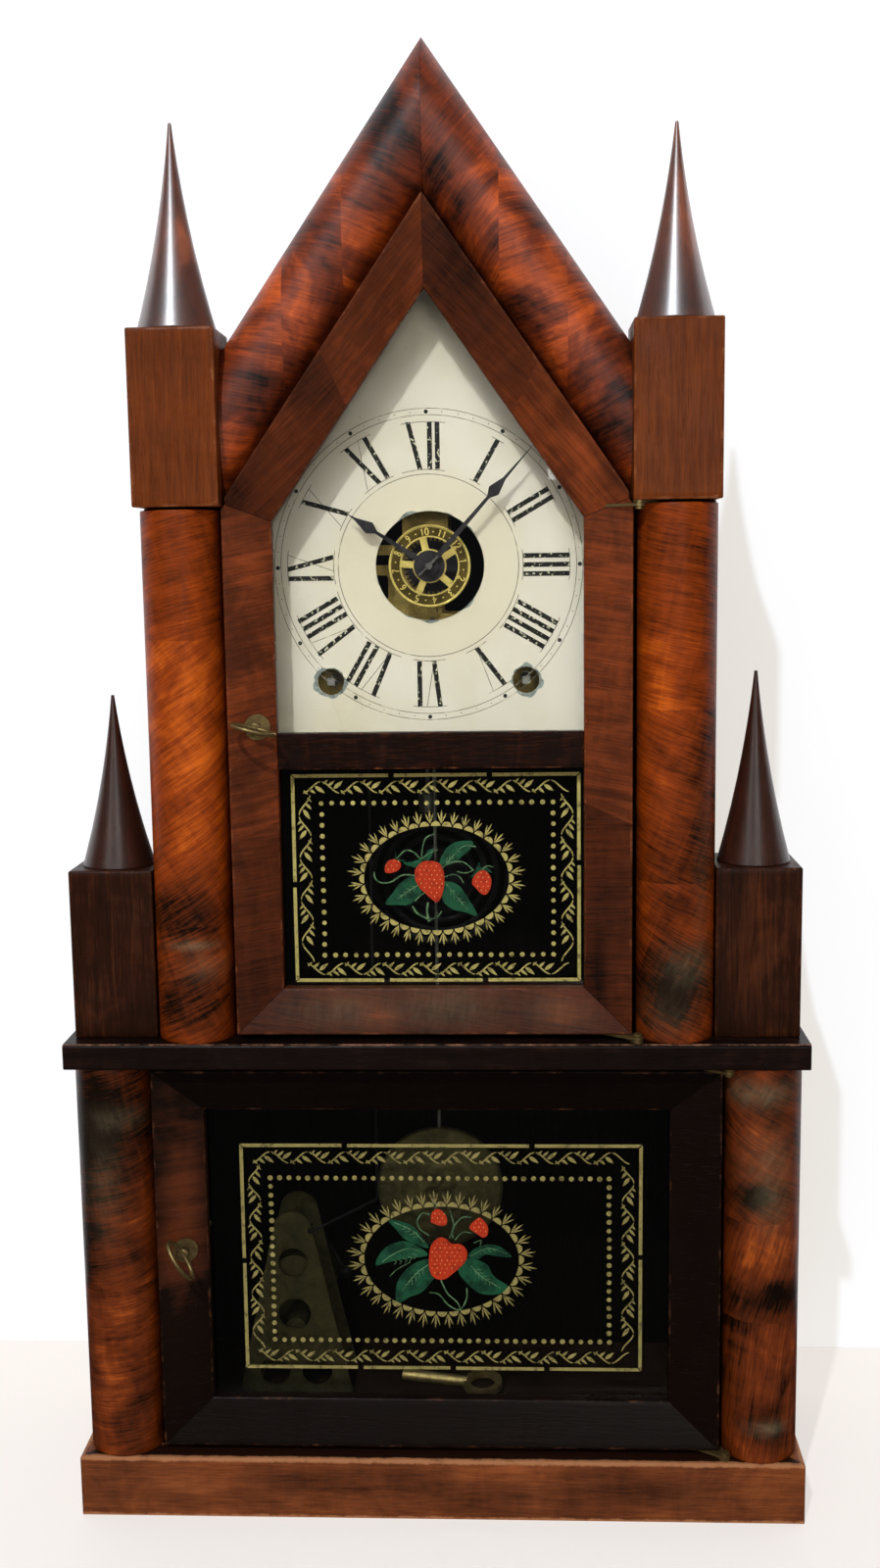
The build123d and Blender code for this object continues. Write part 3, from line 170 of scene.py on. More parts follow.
def around(loop, depth):
    """Signed distance round an outline from its frontmost point, the one with the least depth."""
    step = np.linalg.norm(np.roll(loop, -1, 0) - loop, axis=1)
    run = np.concatenate([[0.0], np.cumsum(step)[:-1]])
    front, total = int(np.argmin(loop[:, depth])), step.sum()
    signed = (run - run[front] + total / 2) % total - total / 2
    rising = loop[(front + 1) % len(loop), 1 - depth] > loop[front - 1, 1 - depth]
    return signed if rising else -signed


def carried(loop, marks, start, end, across, rise, cuts=(None, None), step=5.0, round_end=0.7,
            leaves=((0.0, 90.0, 0.0),), seed=0.0, depth=1):
    """A closed outline carried straight from start to end, with flat ends, or ends cut by a plane.

    A point is start + a * across + b * rise + t * along, where (a, b) is on the outline and t runs
    between the two end planes. Free ends are rounded over by drawing their last ring in. Each leaf
    of veneer is (share of the length where it begins, angle of its grain from across, darkness);
    its grain place is (s cos + t sin, t cos - s sin), where s runs round the outline.
    """
    start, end, across, rise = (numbers(v) for v in (start, end, across, rise))
    length = np.linalg.norm(end - start)
    along = (end - start) / length
    n = len(loop)
    ahead = np.roll(loop, -1, 0) - np.roll(loop, 1, 0)
    out = np.stack([ahead[:, 1], -ahead[:, 0]], 1)
    out *= np.sign(twice_area(loop)) / (np.linalg.norm(out, axis=1)[:, None] + 1e-9)
    base = start + loop[:, :1] * across + loop[:, 1:] * rise

    def reach(cut, plain):
        """How far along its line each point of the outline meets an end."""
        if cut is None:
            return np.full(n, plain)
        return ((cut[0] - base) @ cut[1]) / (along @ cut[1])

    t0, t1 = reach(cuts[0], 0.0), reach(cuts[1], length)
    wear, gap = 3.0, 0.07 / length
    shares = list(np.linspace(0, 1, max(2, int(length / step))))
    for leaf in leaves[1:]:
        shares += [leaf[0] - gap, leaf[0] + gap]
    shares = np.array(sorted(shares))
    # Rings near an end: distance from it, inset and edge mark
    free = [(0.0, round_end, 1.0), (0.3 * round_end, 0.3 * round_end, 1.0), (round_end, 0.0, 1.0)]
    low, high = (numbers(free if cut is None else [(0.0, 0.0, 0.0), (0.5, 0.0, 0.0)]) for cut in cuts)
    high = high[::-1]
    rows = np.concatenate([
        t0 + low[:, :1], t0 + wear + (t1 - t0 - 2 * wear) * shares[:, None], t1 - high[:, :1]])
    plain = np.zeros(len(shares))
    inset, tip = (np.concatenate([low[:, i], plain, high[:, i]])[:, None] for i in (1, 2))
    share = np.concatenate([np.full(len(low), -1.0), shares, np.full(len(high), 2.0)])
    which = np.clip(np.searchsorted([leaf[0] for leaf in leaves], share, side="right") - 1, 0, None)
    angle, dark = (np.array([leaves[i][k] for i in which])[:, None] for k in (1, 2))
    angle, shift = np.radians(angle), seed + 137.0 * which[:, None]
    flat = loop[None] - out[None] * inset[..., None]
    pts = start + flat[..., :1] * across + flat[..., 1:] * rise + rows[..., None] * along
    s = around(loop, depth)
    place = np.stack([
        s * np.cos(angle) + rows * np.sin(angle) + shift, rows * np.cos(angle) - s * np.sin(angle),
        np.broadcast_to(shift * 0.5, rows.shape)], -1)
    seam = np.zeros(rows.shape)
    seam[0], seam[-1] = cuts[0] is not None, cuts[1] is not None

    def with_ends(values):
        """Values of all rings, and those of both end rings again for the end faces."""
        return np.concatenate([part.reshape(size, -1) for part, size in (
            (values, rows.size), (values[0], n), (values[-1], n))])

    total = rows.size
    faces = grid_faces(len(rows), n, caps=False)
    faces += [list(range(total, total + n))[::-1], list(range(total + n, total + 2 * n))]
    ends = [np.stack([flat[i, :, 0] + shift[i], flat[i, :, 1], np.full(n, 9.0)], 1) for i in (0, -1)]
    return shell(with_ends(pts), faces, {
        "edge": with_ends(np.maximum(marks, tip)).ravel(),
        "place": np.concatenate([place.reshape(-1, 3)] + ends) * MM,
        "seam": with_ends(seam).ravel(),
        "dark": with_ends(np.broadcast_to(dark, rows.shape)).ravel(),
    })


def turned(profile, centre, turns, axis=(0, 0, 1), seed=0.0):
    """A profile of (radius, height) points turned about an axis through centre; poles are closed."""
    profile, axis, side = numbers(profile), numbers(axis), numbers((1, 0, 0))
    radius, height = profile[:, None, :1], profile[:, None, 1:]
    ring = ray(whole_turn(turns))
    pts = centre + radius * (ring @ [side, np.cross(axis, side)]) + height * axis
    local = np.concatenate([np.broadcast_to(height + seed, (*pts.shape[:2], 1)), radius * ring], -1)
    return shell(pts, grid_faces(len(profile), turns), {
        "place": local.reshape(-1, 3) * MM, "edge": np.zeros(pts.size // 3)})


def add_stains_and_shade(made, spots=(), hazes=()):
    """Marks cloudy stains and dust, with painted shade and sheen among them: a spot (x, z, rx, rz, amount) adds amount
    * exp(-(dx/rx)^2 - (dz/rz)^2).
    """
    points, _, marks = made
    for key, given, total in (("stain", spots, marks.pop("dark", 0.0)), ("haze", hazes, 0.0)):
        total = total + np.zeros(len(points))
        for x, z, rx, rz, amount in given:
            total += amount * np.exp(-((points[:, 0] - x) / rx) ** 2 - ((points[:, 2] - z) / rz) ** 2)
        marks[key] = total
    return made


def eased(points, per=6, closed=False):
    """A smooth line through points: each run is a cubic whose end slopes are half its neighbours' span."""
    p = numbers(points)
    if closed:
        a, b, c, d = np.roll(p, 1, 0), p, np.roll(p, -1, 0), np.roll(p, -2, 0)
    else:
        long = np.concatenate([[2 * p[0] - p[1]], p, [2 * p[-1] - p[-2]]])
        a, b, c, d = long[:-3], long[1:-2], long[2:-1], long[3:]
    t = np.linspace(0, 1, per, endpoint=False)[None, :, None]
    a, b, c, d = (v[:, None] for v in (a, b, c, d))
    line = 0.5 * (2 * b + (c - a) * t + (2 * a - 5 * b + 4 * c - d) * t**2 + (3 * b - a - 3 * c + d) * t**3)
    line = line.reshape(-1, 2)
    return line if closed else np.concatenate([line, p[-1:]])


def at_depth(line, y):
    """Points (x, z) as points of the case at depth y."""
    return np.insert(numbers(line), 1, y, axis=1)


def band(near, far, front, thick, ring=False):
    """A flat band between two lines of points (x, z)."""
    back = front + thick
    rows = [at_depth(line, y) for line, y in ((near, back), (near, front), (far, front), (far, back))]
    return shell(np.stack(rows, 1), grid_faces(len(near), 4, ring))


def strip(path, width, front, thick=0.06):
    """A flat stroke along points (x, z): half its width is laid to each side, square to the path."""
    path = numbers(path)
    ahead = unit(np.gradient(path, axis=0))
    side = ahead[:, ::-1] * (-1, 1) * np.broadcast_to(width, (len(path),))[:, None] / 2
    return band(path + side, path - side, front, thick)


def prism(outline, front, thick=0.06):
    """A flat shape: its outline (x, z) stands at front and again behind it."""
    n = len(outline)
    sides = [[i, i + n, (i + 1) % n + n, (i + 1) % n] for i in range(n)]
    return shell([at_depth(outline, y) for y in (front, front + thick)],
                 [list(range(n)), list(range(n, 2 * n))[::-1]] + sides)


def drop(base, angle, length, width, points=6, full=0.8):
    """A leaf-shaped outline: half its width is w / 2 * sin(pi t^full) at share t of its length."""
    t = np.linspace(0, 1, points + 1)
    half = width / 2 * np.sin(pi * t**full)
    x, y = np.concatenate([t, t[-2:0:-1]]) * length, np.concatenate([half, -half[-2:0:-1]])
    c, s = cos(radians(angle)), sin(radians(angle))
    return np.stack([base[0] + x * c - y * s, base[1] + x * s + y * c], 1)


def circle(centre, radius, count=12):
    """Points round a circle."""
    return centre + radius * ray(whole_turn(count))


def ringed(centre, inner, outer, front, thick=PAINT):
    """A flat ring between two closed curves given as radii round the circle."""
    near, far = (centre + np.broadcast_to(r, (96,))[:, None] * ray(whole_turn(96)) for r in (inner, outer))
    return band(near, far, front, thick, True)


# Nodes


def put(node, inputs):
    """Sets a node's inputs, or links them where the value is a socket."""
    for key, value in inputs.items():
        if isinstance(value, bpy.types.NodeSocket):
            node.id_data.links.new(value, node.inputs[key])
        else:
            node.inputs[key].default_value = value
    return node


def add(tree, kind, inputs=None, **settings):
    """One node, with its settings and its inputs."""
    made = tree.nodes.new(kind)
    for key, value in settings.items():
        setattr(made, key, value)
    return put(made, inputs or {})


def reckoned(operation, a, b, clamp=False):
    """A Math node's value, in the tree of its first input."""
    return add(a.id_data, "ShaderNodeMath", {0: a, 1: b}, operation=operation, use_clamp=clamp).outputs[0]


def plus(a, b, clamp=False):
    """The sum of two values."""
    return reckoned("ADD", a, b, clamp)


def minus(a, b):
    """The difference of two values."""
    return reckoned("SUBTRACT", a, b)


def times(a, b, clamp=False):
    """The product of two values."""
    return reckoned("MULTIPLY", a, b, clamp)


def mix(factor, a, b):
    """A colour mixed by factor."""
    return add(factor.id_data, "ShaderNodeMix", {0: factor, 6: a, 7: b}, data_type="RGBA").outputs[2]


def span(value, low, high, to_low=0.0, to_high=1.0, smooth=True):
    """A value carried from one range to another."""
    return add(value.id_data, "ShaderNodeMapRange", {
        "Value": value, "From Min": low, "From Max": high, "To Min": to_low, "To Max": to_high,
    }, interpolation_type="SMOOTHSTEP" if smooth else "LINEAR").outputs["Result"]


def scaled(vector, factors, offset=(0, 0, 0)):
    """A vector scaled along each axis."""
    return add(vector.id_data, "ShaderNodeMapping", {
        "Vector": vector, "Scale": factors, "Location": offset}).outputs[0]


def noise(vector, scale, detail=3.0, rough=0.5, distortion=0.0):
    """Fractal noise between nought and one."""
    return add(vector.id_data, "ShaderNodeTexNoise", {
        "Vector": vector, "Scale": scale, "Detail": detail, "Roughness": rough, "Distortion": distortion,
    }).outputs["Fac"]


def object_place(tree, quarter_turn=None):
    """Object coordinates, turned a quarter about an axis where one is given."""
    place = add(tree, "ShaderNodeTexCoord").outputs["Object"]
    if quarter_turn:
        place = add(tree, "ShaderNodeVectorRotate", {"Vector": place, "Angle": pi / 2},
                    rotation_type=quarter_turn).outputs[0]
    return place


def axis_of(place, axis):
    """One axis of a place."""
    return add(place.id_data, "ShaderNodeSeparateXYZ", {"Vector": place}).outputs[axis]


def light_path(tree, kind):
    """One where a ray is of this kind."""
    return add(tree, "ShaderNodeLightPath").outputs[kind]


def rgb(*values):
    """A colour given in screen values out of 255, as the renderer's linear values."""
    values = [v / 255 for v in values]
    return tuple([v / 12.92 if v <= 0.04045 else ((v + 0.055) / 1.055) ** 2.4 for v in values] + [1.0])


def new_group(name, inputs):
    """A node group that gives a colour, a roughness and a height; an input of None is a vector."""
    group = bpy.data.node_groups.new(name, "ShaderNodeTree")
    for key, value in inputs.items():
        kind = "Vector" if value is None else "Color" if isinstance(value, tuple) else "Float"
        socket = group.interface.new_socket(key, in_out="INPUT", socket_type="NodeSocket" + kind)
        if value is not None:
            socket.default_value = value
    for key, kind in (("Color", "Color"), ("Roughness", "Float"), ("Height", "Float")):
        group.interface.new_socket(key, in_out="OUTPUT", socket_type="NodeSocket" + kind)
    given, result = group.nodes.new("NodeGroupInput"), group.nodes.new("NodeGroupOutput")
    return group, given.outputs, result


def veneer_group():
    """Figured veneer: pores and streaks along the grain, clouds, cross curl, stains and worn edges."""
    group, g, result = new_group("figured_veneer", {
        "Place": None, "Stain": 0.0, "Haze": 0.0, "Edge": 0.0, "Seam": 0.0, "Bright": (0.4, 0.1, 0.03, 1),
        "Middle": (0.2, 0.05, 0.02, 1), "Dark": (0.03, 0.01, 0.01, 1), "Worn": (0.5, 0.2, 0.1, 1),
        "Cloud": 0.5, "Cloud Size": 26.0, "Curl": 0.3, "Streak": 0.6, "Tone": 0.5, "Wear": 0.5, "Smooth": 0.3})

    def grain(factors, *settings):
        """Noise drawn out along the grain."""
        return noise(scaled(g["Place"], factors), 1.0, *settings)

    streak, fine = grain((24, 300, 300), 5.0, 0.6, 0.5), grain((70, 1300, 1300), 2.0, 0.6, 0.2)
    pores, curl = grain((160, 3000, 3000), 1.0, 0.5), grain((170, 30, 30), 3.0, 0.55, 0.9)
    cloud = noise(scaled(g["Place"], (1.0, 1.5, 1.5), (3.1, 1.7, 0.4)), g["Cloud Size"], 4.0, 0.6, 1.2)
    value = g["Tone"]
    for part, weight in ((streak, g["Streak"]), (fine, times(g["Streak"], 0.7)), (curl, g["Curl"]),
                         (cloud, times(g["Cloud"], 2.4))):
        value = plus(value, times(minus(part, 0.5), weight))
    # The stain mark darkens by this cloudy pattern: real stains, and painted shade where spots stand for shade under
    # the shelf
    stained = span(plus(cloud, times(streak, 0.6)), 0.45, 1.15, 0.55, 1.45)
    value = minus(value, times(g["Stain"], stained))
    colour = mix(span(value, 0.0, 0.5, smooth=False), g["Dark"], g["Middle"])
    colour = mix(span(value, 0.5, 1.0, smooth=False), colour, g["Bright"])
    colour = mix(span(pores, 0.62, 0.8, 0.0, 0.4), colour, g["Dark"])
    scratch = grain((420, 110, 110), 4.0, 0.7)
    # This pale grey-olive film is real dust on the columns, and a painted sheen on the upper door's bottom rail
    dust_sheen_amount = times(g["Haze"], span(scratch, 0.3, 0.75, 0.35, 0.85), clamp=True)
    colour = mix(dust_sheen_amount, colour, rgb(128, 112, 84))
    chips = grain((110, 110, 110), 4.0, 0.75)
    rub = span(plus(times(g["Edge"], g["Wear"]), times(chips, 0.9)), 0.88, 1.2)
    colour = mix(rub, colour, g["Worn"])
    colour = mix(span(g["Seam"], 0.3, 1.0, 0.0, 0.85), colour, (0.004, 0.002, 0.002, 1))
    smear = grain((34, 34, 34), 4.0, 0.65)
    rough = plus(g["Smooth"], span(smear, 0.25, 0.75, -0.07, 0.12))
    height = minus(plus(times(streak, 0.35), times(fine, 0.25)), times(span(pores, 0.6, 0.8), 0.25))
    put(result, {"Color": colour, "Roughness": plus(rough, times(plus(rub, dust_sheen_amount), 0.2)),
                 "Height": minus(height, times(rub, 0.4))})
    return group


def tarnish_group():
    """Aged metal: cloudy tarnish, fine scratches and small pits."""
    group, g, result = new_group("tarnish", {
        "Clean": (0.6, 0.45, 0.2, 1), "Dull": (0.1, 0.07, 0.03, 1), "Amount": 0.5, "Smooth": 0.25})
    place = object_place(group)
    cloud, speck = noise(place, 90.0, 5.0, 0.65, 0.6), noise(place, 900.0, 3.0, 0.6)
    lines = noise(scaled(place, (300, 300, 5200)), 1.0, 2.0, 0.6)
    amount = plus(span(cloud, 0.3, 0.75, -0.35, 0.45, False), g["Amount"])
    amount = plus(amount, span(speck, 0.55, 0.75, 0.0, 0.3), clamp=True)
    put(result, {
        "Color": mix(amount, g["Clean"], g["Dull"]),
        "Roughness": plus(plus(g["Smooth"], times(amount, 0.3)), times(lines, 0.12)),
        "Height": plus(times(lines, 0.3), times(speck, 0.7))})
    return group


def boards_group():
    """Plain stained boards: long streaks, knots' shade, rubbed dust in the pores."""
    group, g, result = new_group("stained_boards", {
        "Place": None, "Light": (0.2, 0.1, 0.05, 1), "Deep": (0.04, 0.02, 0.01, 1)})
    rings = noise(scaled(g["Place"], (9, 120, 9)), 1.0, 5.0, 0.6, 0.8)
    fine = noise(scaled(g["Place"], (1400, 1400, 60)), 1.0, 2.0, 0.6)
    cloud = noise(g["Place"], 14.0, 4.0, 0.6, 0.5)
    value = plus(plus(times(rings, 0.5), times(fine, 0.25)), times(cloud, 0.35))
    put(result, {"Color": mix(span(value, 0.3, 0.8), g["Deep"], g["Light"]),
                 "Roughness": span(cloud, 0.2, 0.8, 0.45, 0.7), "Height": fine})
    return group


VENEER, TARNISH, BOARDS = veneer_group(), tarnish_group(), boards_group()


def new_material(name):
    """A material with its tree and its Principled shader."""
    made = bpy.data.materials.new(name)
    made.use_nodes = True
    tree = made.node_tree
    tree.nodes.clear()
    shader = tree.nodes.new("ShaderNodeBsdfPrincipled")
    add(tree, "ShaderNodeOutputMaterial", {"Surface": shader.outputs[0]})
    return made, tree, shader


def bump(height, depth, strength=1.0):
    """A normal raised by a height, with its depth in metres."""
    return add(height.id_data, "ShaderNodeBump", {
        "Height": height, "Distance": depth, "Strength": strength}).outputs[0]


def either(tree, factor, plain, other):
    """The surface is the plain shader where factor is nought and the other where it is one."""
    both = add(tree, "ShaderNodeMixShader", {0: factor, 1: plain.outputs[0], 2: other.outputs[0]})
    put(next(n for n in tree.nodes if n.type == "OUTPUT_MATERIAL"), {"Surface": both.outputs[0]})


def finished(name, group, inputs, depth, **looks):
    """A material whose colour, roughness and bump come from a group; looks are the shader's own values."""
    made, tree, shader = new_material(name)
    inputs = inputs(tree) if callable(inputs) else inputs
    source = add(tree, "ShaderNodeGroup", inputs, node_tree=group).outputs
    put(shader, {"Base Color": source["Color"], "Roughness": source["Roughness"],
                 "Normal": bump(source["Height"], depth)})
    put(shader, {key.replace("_", " "): value for key, value in looks.items()})
    return made, tree, shader, source


def veneer(name, *colours, run=None, edge=None, coat=0.04, coat_rough=0.36, gloss=0.07, coat_ior=1.5, **values):
    """A shellacked veneer: it reads the piece's grain marks, or a solid's grain is laid along run.

    The colours are bright, middle, dark and worn. Edge is the depth and height of a rubbed edge.
    """
    def inputs(tree):
        """The group's inputs, with the nodes that feed them."""
        if run:
            marks = {"Place": object_place(tree, "Y_AXIS" if run == "Z" else None)}
        else:
            marks = {key: add(tree, "ShaderNodeAttribute", attribute_name=key.lower()).outputs[
                "Vector" if key == "Place" else "Fac"] for key in ("Place", "Stain", "Haze", "Edge", "Seam")}
        if edge:
            place = object_place(tree)
            marks["Edge"] = times(span(axis_of(place, "Y"), edge[0] * MM, (edge[0] - 1.6) * MM),
                                  span(axis_of(place, "Z"), (edge[1] - 1.2) * MM, edge[1] * MM))
        shades = zip(("Bright", "Middle", "Dark", "Worn"), colours)
        return {**marks, **{key: rgb(*shade) for key, shade in shades}, **values}

    return finished(name, VENEER, inputs, 0.00025, Coat_Weight=coat, Coat_Roughness=coat_rough,
                    Coat_IOR=coat_ior, Specular_IOR_Level=gloss)[0]


def metal(name, clean, dull, amount, smooth):
    """A metal under some tarnish."""
    return finished(name, TARNISH, {"Clean": rgb(*clean), "Dull": rgb(*dull), "Amount": amount, "Smooth": smooth},
                    0.00003, Metallic=0.95)[0]


def pine(name, light, deep, turn=None):
    """Stained boards in Object coordinates; turned ones get painted shade, near black on all but their rear face, for
    the dark inside of the case.
    """
    made, tree, shader, source = finished(name, BOARDS, lambda tree: {
        "Place": object_place(tree, turn), "Light": rgb(*light), "Deep": rgb(*deep)}, 0.0002, Specular_IOR_Level=0.0)
    if turn:
        # Painted shade: all but the board's rear face goes near black, standing in for the shade inside the case
        back = span(axis_of(object_place(tree), "Y"), (REAR_Y - 2.0) * MM, (REAR_Y - 0.6) * MM)
        put(shader, {"Base Color": mix(back, rgb(7, 5, 4), source["Color"])})
    return made


def glass(name, tint):
    """Old sheet glass, slightly wavy, that lets the lamps through."""
    made, tree, shader = new_material(name)
    put(shader, {
        "Base Color": tint, "Transmission Weight": 1.0, "Roughness": 0.0, "IOR": 1.45, "Specular IOR Level": 0.2,
        "Normal": bump(noise(object_place(tree), 18.0, 1.0, 0.4), 0.0004, 0.3)})
    either(tree, light_path(tree, "Is Shadow Ray"), shader,
           add(tree, "ShaderNodeBsdfTransparent", {"Color": (0.93, 0.95, 0.93, 1)}))
    return made


def dial_paint():
    """Aged cream paint: warm inside the hour circle, drifting stains, a few rust specks."""
    made, tree, shader = new_material("dial_cream")
    place = object_place(tree)
    centred = scaled(place, (1, 0, 1), (0, 0, -DIAL_CENTRE * MM))
    away = add(tree, "ShaderNodeVectorMath", {0: centred}, operation="LENGTH").outputs["Value"]
    drift = noise(place, 22.0, 5.0, 0.6)
    colour = mix(span(drift, 0.35, 0.7), rgb(207, 195, 178), rgb(197, 184, 158))
    colour = mix(span(away, 0.046, 0.036, 0.0, 0.75), colour, rgb(201, 186, 158))
    specks = noise(place, 420.0, 2.0, 0.5)
    colour = mix(span(specks, 0.76, 0.82, 0.0, 0.6), colour, rgb(112, 87, 54))
    crackle = add(tree, "ShaderNodeTexVoronoi", {"Vector": place, "Scale": 55.0}, feature="DISTANCE_TO_EDGE")
    cracks = times(span(crackle.outputs[0], 0.0, 0.012, 1.0, 0.0), span(drift, 0.5, 0.62))
    put(shader, {"Base Color": mix(times(cracks, 0.16), colour, rgb(112, 98, 77)),
                 "Roughness": span(drift, 0.2, 0.8, 0.4, 0.55), "Normal": bump(drift, 0.0002, 0.5)})
    return made


def paint(name, colour, other, scale, rough=0.5, low=0.4, high=0.65, detail=4.0):
    """A paint whose colour drifts or flakes to another by noise."""
    made, tree, shader = new_material(name)
    drift = noise(object_place(tree), scale, detail, 0.6)
    put(shader, {
        "Base Color": mix(span(drift, low, high), rgb(*colour), rgb(*other)), "Specular IOR Level": 0.1,
        "Roughness": span(drift, 0.2, 0.8, rough - 0.08, rough + 0.12), "Normal": bump(drift, 0.00003, 0.6)})
    return made


WORN = (150, 84, 44)
columns_upper = veneer("column_mahogany", (204, 96, 20), (136, 54, 8), (22, 8, 2), WORN,
                       coat=0.06, Cloud=0.42, Curl=0.34, Tone=0.54, Wear=0.1, Streak=0.85, Smooth=0.36)
columns_lower = veneer("lower_column_mahogany", (174, 82, 20), (104, 42, 9), (18, 7, 2), WORN,
                       coat=0.06, Cloud=0.6, Curl=0.34, Tone=0.48, Wear=0.1, Streak=0.85, Smooth=0.36)
blocks_upper = veneer("block_mahogany", (128, 62, 20), (94, 43, 14), (38, 16, 6), (132, 78, 46),
                      coat=0.02, Cloud=0.16, Curl=0.12, Tone=0.55, Wear=0.5, Streak=0.8)
blocks_small = veneer("small_block_rosewood", (84, 42, 20), (42, 19, 9), (16, 8, 5), (90, 46, 26),
                      Cloud=0.3, Curl=0.15, Tone=0.48, Wear=0.45, Streak=0.7)
small_spires = veneer("spire_rosewood", (84, 38, 20), (50, 22, 12), (18, 9, 6), (96, 52, 32), coat=0.6,
                      coat_rough=0.34, gloss=0.2, Cloud=0.25, Curl=0.12, Tone=0.45, Wear=0.35, Smooth=0.3)
tall_spires = veneer("tall_spire_mahogany", (166, 84, 44), (96, 44, 22), (24, 11, 8), (110, 60, 38), coat=1.0,
                     coat_rough=0.34, coat_ior=2.1, gloss=0.5, Cloud=0.35, Curl=0.12, Tone=0.5, Wear=0.35,
                     Smooth=0.42)
mouldings = veneer("moulding_mahogany", (190, 80, 22), (116, 44, 12), (24, 10, 6), WORN, coat=0.4, coat_rough=0.5,
                   gloss=0.12, Cloud=0.7, Curl=0.35, Tone=0.48, Wear=0.1, Streak=0.8, Smooth=0.42)
door_upper = veneer("upper_door_mahogany", (130, 58, 24), (80, 35, 14), (22, 9, 5), (128, 72, 42),
                    Cloud=0.35, Curl=0.3, Tone=0.52, Wear=0.45, Streak=0.7)
door_lower = veneer("lower_door_mahogany", (84, 38, 16), (22, 10, 5), (6, 3, 2), (96, 56, 34),
                    coat=0.06, Cloud=0.12, Curl=0.08, Tone=0.42, Wear=0.45, Streak=0.14)
plinth_wood = veneer("plinth_mahogany", (148, 80, 40), (106, 54, 26), (34, 16, 9), (158, 104, 68),
                     Cloud=0.4, Curl=0.25, Tone=0.52, Wear=0.75, Streak=0.7)
shelf_wood = veneer("shelf_black", (52, 28, 20), (22, 12, 9), (7, 4, 3), (150, 104, 78), run="X",
                    edge=(-58.0, SHELF_TOP), coat=0.06, coat_rough=0.3, gloss=0.06, Cloud=0.3, Tone=0.45, Wear=0.6)
front_boards = veneer("front_board_stain", (60, 26, 13), (30, 13, 8), (12, 6, 4), (70, 38, 24), run="Z",
                      coat=0.1, coat_rough=0.3, gloss=0.06, Cloud=0.2, Tone=0.45, Wear=0.1)
side_wood = veneer("side_board_mahogany", (110, 52, 26), (70, 32, 16), (26, 12, 7), (110, 62, 38), run="Z",
                   coat=0.2, coat_rough=0.3, gloss=0.06, Cloud=0.25, Curl=0.15, Tone=0.5, Wear=0.2)
back_pine_painted_shade = pine("stained_pine", (100, 62, 38), (40, 23, 14), "Z_AXIS")
floor_pine = pine("base_pine", (30, 19, 13), (12, 7, 5))
brass_old = metal("aged_brass", (176, 150, 98), (74, 60, 36), 0.4, 0.32)
brass_bright = metal("bright_brass", (226, 202, 116), (112, 92, 42), 0.3, 0.28)
brass_plate = metal("movement_brass", (196, 168, 96), (78, 64, 34), 0.4, 0.3)
brass_dark = metal("grimy_shaded_brass", (96, 78, 34), (40, 32, 14), 0.45, 0.5)
# Painted shade: brass darkened for the bob, the bell and the alarm movement, which sit in the dark inside of the case
brass_in_painted_shade = metal("shade_dimmed_brass", (84, 74, 46), (36, 33, 22), 0.45, 0.42)
steel = metal("dull_steel", (110, 106, 100), (46, 43, 40), 0.4, 0.35)
steel_bright = metal("bright_steel", (160, 157, 152), (80, 74, 66), 0.3, 0.3)
blued = metal("blued_steel", (58, 54, 56), (24, 22, 24), 0.4, 0.4)
iron = metal("gong_iron", (40, 39, 40), (20, 18, 18), 0.5, 0.5)
pane_glass = glass("sheet_glass", (0.97, 0.985, 0.97, 1))
tablet_glass = glass("tablet_glass", (0.9, 0.93, 0.88, 1))
gold = paint("gold_line", (166, 146, 90), (104, 88, 50), 420.0, 0.4, 0.5, 0.7)
dim_gold = paint("dim_gold_line", (140, 122, 76), (88, 76, 46), 420.0, 0.4, 0.5, 0.7)
berry_red = paint("berry_red", (164, 44, 20), (116, 26, 10), 330.0, 0.5, 0.5, 0.72)
leaf_green = paint("leaf_green", (26, 70, 48), (12, 40, 28), 160.0, 0.45)
vein_green = paint("vein_green", (98, 120, 88), (52, 76, 54), 260.0, 0.45)
dial_cream = dial_paint()
ink = paint("worn_ink", (28, 25, 23), (188, 180, 154), 560.0, 0.45, 0.56, 0.63, 5.0)
hard_ink = paint("dot_ink", (24, 22, 20), (60, 54, 48), 300.0, 0.45)
fine_ink = paint("fine_ink", (96, 88, 76), (176, 166, 142), 220.0, 0.45, 0.5, 0.7, 3.0)
chipped = paint("bare_chip", (134, 138, 130), (96, 98, 92), 500.0, 0.5)
seed_cream = paint("seed_cream", (216, 150, 96), (180, 96, 60), 500.0, 0.45)

# Case woodwork


def roof(x, inset=0.0):
    """Height of the roof's line at x, moved square into the case by inset."""
    return APEX - inset * LEAN - SLOPE * abs(x)


def upright(loop, marks, low, high, spots=(), hazes=(), **how):
    """An outline (x, y) carried up, with its stain, shade and sheen marks."""
    return add_stains_and_shade(carried(loop, marks, (0, 0, low), (0, 0, high), (1, 0, 0), (0, 1, 0), **how), spots, hazes)


def block(name, low, high, material, replaces, spots, seed):
    """An upright block with softened edges: a rounded rectangle carried up."""
    corners = [(low[0], low[1]), (high[0], low[1]), (high[0], high[1]), (low[0], high[1])]
    made = upright(*rounded_loop(corners, 0.8, 5.0), low[2], high[2], spots, seed=seed)
    new_piece(name, [made], material, "case", (replaces,))


def column(place, side, centre, low, high, material, spots, hazes, leaves, seed):
    """A half-round column: straight flanks and a half circle, carried up."""
    angle = np.linspace(0, -pi, 41)
    front = (centre, FACE_Y - COLUMN_FLANK) + COLUMN_RADIUS * ray(angle)
    back = np.stack([centre + np.linspace(-COLUMN_RADIUS, COLUMN_RADIUS, 8), np.full(8, FACE_Y)], 1)
    loop = np.concatenate([front, back])
    made = upright(loop, np.zeros(len(loop)), low, high, spots, hazes,
                   step=3.0, round_end=0.5, leaves=leaves, seed=seed)
    made[2]["edge"] *= 0.4
    size = "tall" if place == "upper" else "low"
    new_piece(f"{size}_column_{side}", [made], material, "case", (f"{place}_column_{side}",))


